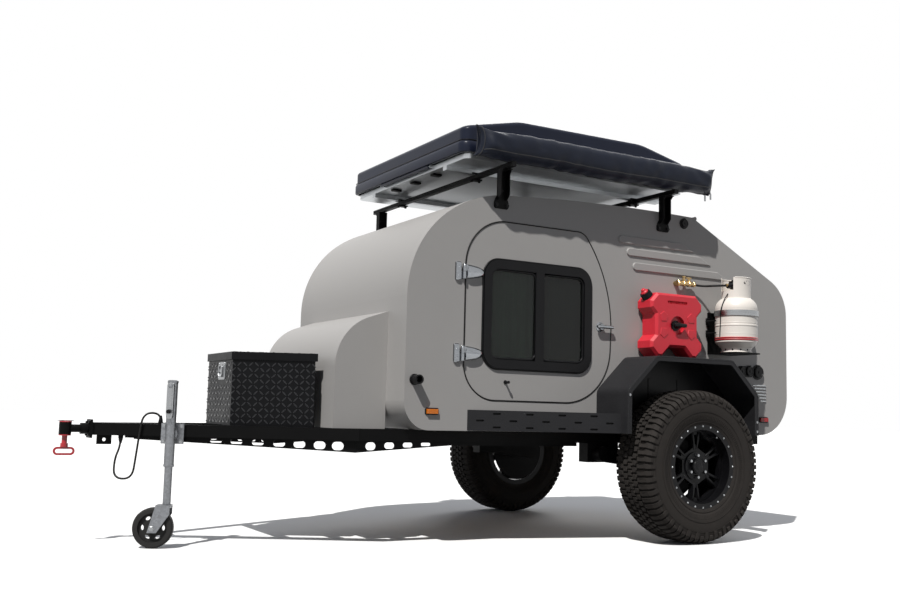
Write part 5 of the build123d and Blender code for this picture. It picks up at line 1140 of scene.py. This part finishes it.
def wall_dress():
    work = bmesh.new()
    for ahead, up, radius, proud in PORTS:
        lid = stand((ahead, WALL + proud, up), (0, 1, 0))
        turned(work, lid, ((0, -1), (radius * 0.94, -1), (radius * 0.94, 2), (radius * 0.86, 4), (radius * 0.7, 4),
                           (radius * 0.66, 2), (radius * 0.3, 2), (radius * 0.26, 5), (0, 5.5)), 40)
        turned(work, stand((ahead, 720.2, up), (0, 1, 0)), ((radius * 0.9, 0), (radius * 1.24, 0),
                                                            (radius * 1.22, 4), (radius * 1.1, 6),
                                                            (radius * 0.9, 6)), 40, hoop=True)
        slab(work, stand((ahead, WALL + proud, up + radius), (0, 1, 0)), rounded(14, 12, 3), -6, 3, 1)
    # the socket block between the two sockets, and the pipe stub's flange
    slab(work, stand((-660, 720.2, 976), (0, 1, 0)), rounded(120, 66, 14), 0, 7, 2)
    turned(work, stand((1640, 720.2, 842), (0, 1, 0)), ((23, 0), (29, 0), (28.5, 3), (26, 5), (23, 5)), 36, hoop=True)
    for side in (LEFT, RIGHT):
        for ahead, up in ((1537, 685), (-813, 683)):
            slab(work, on_side(side, ahead, 720.1, up), rounded(78, 36, 8), 0, 5, 2)
        turned(work, stand((REAR, side * 560, 905), (-1, 0, 0)),
               ((50.5, 0), (64, 0), (63, 6), (57, 10), (52.5, 11), (52.5, 0)), 48, hoop=True)
    slab(work, stand((REAR, 0, 962), (-1, 0, 0)), rounded(96, 22, 6), 0, 13, 4)
    dress(work, "port_lids_and_bezels", BLACK_ABS, "chassis", 35)

    work = bmesh.new()
    for step in range(6):
        up, front = 893 - 19 * step, -729 - 13 * step
        levels = []
        for ahead, grow in ((front, 0.0), (front - 7, 1.0), (-833, 1.0), (-840, 0.0)):
            levels.append([work.verts.new(spot(ahead, 720.1 + out * grow, up + rise))
                           for out, rise in ((0, 6), (4, 4.5), (8, 0), (7, -1.6), (0, -1.6))])
        skin(work, levels)
    dress(work, "louvres", ALUMINIUM, "chassis", 40)

    work = bmesh.new()
    plate = stand((REAR, 0, 866), (-1, 0, 0))
    slab(work, plate, rounded(305, 152, 14), 0, 2.4, 0.8)
    bar(work, [(-1028.4, x, 866 + z) for x, z in rounded(293, 140, 10, 4)], 1.6, 8, closed=True)
    dress(work, "blank_number_plate", WHITE_ENAMEL, "chassis", 40)
    work = bmesh.new()
    for across in (-89, 89):
        for up in (-58, 58):
            turned(work, stand((-1027.4, across, 866 + up), (-1, 0, 0)), ((0, 0), (6, 0), (5.4, 2.4), (0, 3.6)), 16)
    dress(work, "plate_screws", STAINLESS, "chassis")


def hatch_dress():
    work = bmesh.new()
    face = stand((REAR, 0, 1060), (-1, 0, 0))
    slab(work, face, rounded(132, 92, 12), 0, 3, 1.2)
    slab(work, face @ Matrix.Translation((0, -0.006, 0)), rounded(84, 56, 14), 2.8, 9, 3)
    slab(work, face @ Matrix.Translation((0, -0.026, 0)), rounded(56, 14, 6), 8, 12.5, 2)
    dress(work, "hatch_latch", STAINLESS, "hatch_body", bevel=0.6)


def galley_fronts():
    work = bmesh.new()
    holes = bmesh.new()
    for across in (-450, 0, 450):
        for low, high in ((752, 1010), (1026, 1300)):
            where = stand((-212.8, across, (low + high) / 2), (-1, 0, 0))
            slab(work, where, rounded(430, high - low, 12), 0, 9, 2.5)
            turned(holes, where @ Matrix.Translation((0, (high - low) / 2000 - 0.045, 0.009)),
                   ((0, -1), (21, -1), (21, 0.4), (18, 0.8), (16, 0.2), (0, 0.2)), 28)
    dress(work, "galley_fronts", BIRCH, "chassis", bevel=0.8)
    dress(holes, "galley_finger_pulls", BLACK_ABS, "chassis")


# Tongue: jack, caster and coupler

RAIL_OUT = (0.44395, 0.89605, 0)


def tongue_dress():
    work = bmesh.new()
    for along in (-42, 42):
        for up in (-38, 38):
            bolt(work, rail_place(JACK_ALONG + along, 38, 545 + up), RAIL_OUT, 16, 8)
    dress(work, "jack_plate_bolts", STAINLESS, "chassis")

    work = bmesh.new()
    turned(work, stand(rail_place(JACK_ALONG, JACK_OUT, 800), (0, 0, 1)),
           ((0, -0.5), (26, -0.5), (26, -9), (25, -10), (25, 1), (21, 4), (0, 5)), 36)
    for up in (388, 520, 590):
        turned(work, stand(rail_place(JACK_ALONG, JACK_OUT, up), (0, 0, 1)),
               ((23.5, 0), (26, 1), (26, 9), (23.5, 10)), 36, hoop=True)
    turned(work, stand(rail_place(JACK_ALONG, 138, 775), RAIL_OUT), ((0, -2), (11, -2), (11, 3), (8, 6), (0, 7)), 6)
    dress(work, "jack_collars", ZINC, "jack", 40)
    work = bmesh.new()
    lever = stand(rail_place(JACK_ALONG, 121, 704), RAIL_OUT)
    slab(work, lever, rounded(34, 176, 15), 0, 16, 4)
    slab(work, lever, rounded(18, 140, 8), 15, 18, 1.5)
    turned(work, stand(rail_place(JACK_ALONG, 106, 775), RAIL_OUT), ((0, 0), (15, 0), (15, 16), (0, 16)), 24)
    dress(work, "jack_lever", STAINLESS, "jack", 40)
    work = bmesh.new()
    turned(work, stand(rail_place(JACK_ALONG, 130, 652), RAIL_OUT),
           ((0, -8), (9, -8), (10, -4), (10.5, 10), (10, 36), (8, 42), (0, 44)), 24)
    dress(work, "jack_crank_grip", BLACK_ABS, "jack", 40)

    work = bmesh.new()
    for out, way in ((120, 1), (48, -1)):
        turned(work, stand(rail_place(955, out, 96), [way * part for part in RAIL_OUT]),
               ((0, -1), (15, -1), (15, 1.5), (12, 1.6), (12, 7), (9, 9), (0, 9)), 6)
    turned(work, stand(rail_place(JACK_ALONG, JACK_OUT, 200), (0, 0, 1)),
           ((19.5, 0.2), (30, 0.2), (30, -4), (27, -8), (19.5, -8)), 36, hoop=True)
    dress(work, "caster_nuts", STAINLESS, "caster", 35)

    work = bmesh.new()
    clip = ((3128, -14, 594), (3146, -3, 596.5), (3170, 0, 597), (3190, 2, 597), (3206, 8, 597), (3210, 16, 596.5),
            (3200, 20, 596), (3180, 14, 596))
    bar(work, clip, 1.9, 8)
    dress(work, "pin_clip", STAINLESS, "coupler", 60)
    work = bmesh.new()
    for side in (LEFT, RIGHT):
        for up in (530, 588):
            bolt(work, (3062, side * 36, up), (1, 0, 0), 15, 8)
        bolt(work, (2960, side * 40, 559), (0, side, 0), 22, 12)
        bolt(work, (2925, side * 40, 559), (0, side, 0), 22, 12)
    dress(work, "coupler_bolts", POWDER_COAT, "chassis")


# Under the floor


def step_hole_shade_sheets():
    """Black sheet behind the pierced step plates: painted shade that keeps their holes dark."""
    work = bmesh.new()
    for side in (LEFT, RIGHT):
        slab(work, stand((905.5, side * 822.7, 645), (0.2507, side * 0.968, 0)), rounded(800, 98, 4), -1.5, -0.1)
    dress(work, "step_hole_shade_sheets", POWDER_COAT, "chassis")


def brake_plates():
    work = bmesh.new()
    for side in (LEFT, RIGHT):
        turned(work, stand((0, side * 800, AXLE_UP), (0, -side, 0)),
               ((0, -0.1), (130, -0.1), (132, 6), (190, 7), (194, 10), (190, 14), (120, 15), (60, 18), (0, 18)), 64)
    dress(work, "brake_plates", POWDER_COAT, "chassis", 35)


def shocks():
    """A damper each side, from a pin in the main rail's face to a pin in the trailing arm."""
    work = bmesh.new()
    for side in (LEFT, RIGHT):
        out = side * 712
        bar(work, [(170, out, 556), (106, out, 481)], 22, 20)
        bar(work, [(106, out, 481), (60, out, 427)], 11, 14)
        for ahead, up, inner in ((170, 556, 609.5), (60, 427, 684.5)):
            bar(work, [(ahead, side * inner, up), (ahead, side * 738, up)], 11, 14)
            turned(work, on_side(side, ahead, 690, up), ((0, 0), (24, 0), (25, 3), (25, 41), (24, 44), (0, 44)), 24)
    dress(work, "shock_absorbers", POWDER_COAT, "chassis", 40)


toolbox_dress()
for side, hand in SIDES:
    fender_dress(side, f"fender_{hand}")
can_dress()
gas_dress()
for dressing in (door_dress, door_seal):
    for side, hand in SIDES:
        dressing(side, f"door_{hand}_body", f"door_{hand}")
rack()
tent_dress()
wall_dress()
hatch_dress()
galley_fronts()
tongue_dress()
step_hole_shade_sheets()
brake_plates()
shocks()


# Studio


def studio():
    floor_work = bmesh.new()
    bmesh.ops.create_grid(floor_work, x_segments=2, y_segments=2, size=60)
    mesh = bpy.data.meshes.new("studio_floor")
    floor_work.to_mesh(mesh)
    floor_work.free()
    material, tree, shader, where = finish("pale_studio_floor", {"Roughness": 0.9})
    mottle = add(tree, "ShaderNodeTexNoise", {"Scale": 0.6}, {"Vector": (where, "Object")})
    pale = two_tone(tree, "#f1f1f0", "#f5f5f4", (mottle, "Fac"))
    # white to the eye and in metal and glass, but it throws back no more light than grey ground
    rays = add(tree, "ShaderNodeLightPath")
    diffuse = add(tree, "ShaderNodeMix", {"data_type": "RGBA", 7: srgb("#585858")},
                  {0: (rays, "Is Diffuse Ray"), 6: (pale, 2)})
    tree.links.new(diffuse.outputs[2], shader.inputs["Base Color"])
    mesh.materials.append(material)
    floor = bpy.data.objects.new("studio_floor", mesh)
    floor.location.z = -0.001
    bpy.context.scene.collection.objects.link(floor)

    sky = bpy.data.worlds.new("studio_light")
    bpy.context.scene.world = sky
    sky.use_nodes = True
    tree = sky.node_tree
    rays = add(tree, "ShaderNodeLightPath")
    clear = add(tree, "ShaderNodeMath", {"operation": "MAXIMUM"},
                {0: (rays, "Is Camera Ray"), 1: (rays, "Is Transmission Ray")})
    seen = add(tree, "ShaderNodeMath", {"operation": "MAXIMUM"}, {0: (clear, 0), 1: (rays, "Is Glossy Ray")})
    level = add(tree, "ShaderNodeMapRange", {"To Min": 0.17, "To Max": 1.0}, {"Value": (seen, 0)})
    backdrop = tree.nodes["Background"]
    # clear blue overhead where the light falls on the trailer, plain white wherever it is seen
    tone = add(tree, "ShaderNodeMix", {"data_type": "RGBA", 6: srgb("#dfe9ff"), 7: (1, 1, 1, 1)}, {0: (seen, 0)})
    tree.links.new(tone.outputs[2], backdrop.inputs["Color"])
    tree.links.new(level.outputs["Result"], backdrop.inputs["Strength"])

    # the sun, and a soft light from behind on the right for the sides that it leaves dark
    for name, energy, spread, colour, source in (("key", 4.4, 0.8, (1.0, 0.985, 0.96), (0.47, 0.37, 0.80)),
                                                 ("fill", 1.0, 30, (1, 1, 1), (-0.62, -0.66, 0.42))):
        light = bpy.data.lights.new(name, "SUN")
        light.energy = energy
        light.angle = math.radians(spread)
        light.color = colour
        lamp = bpy.data.objects.new(name, light)
        lamp.rotation_euler = Vector(source).to_track_quat("Z", "Y").to_euler()
        bpy.context.scene.collection.objects.link(lamp)


studio()
bpy.context.scene.view_settings.view_transform = "Standard"
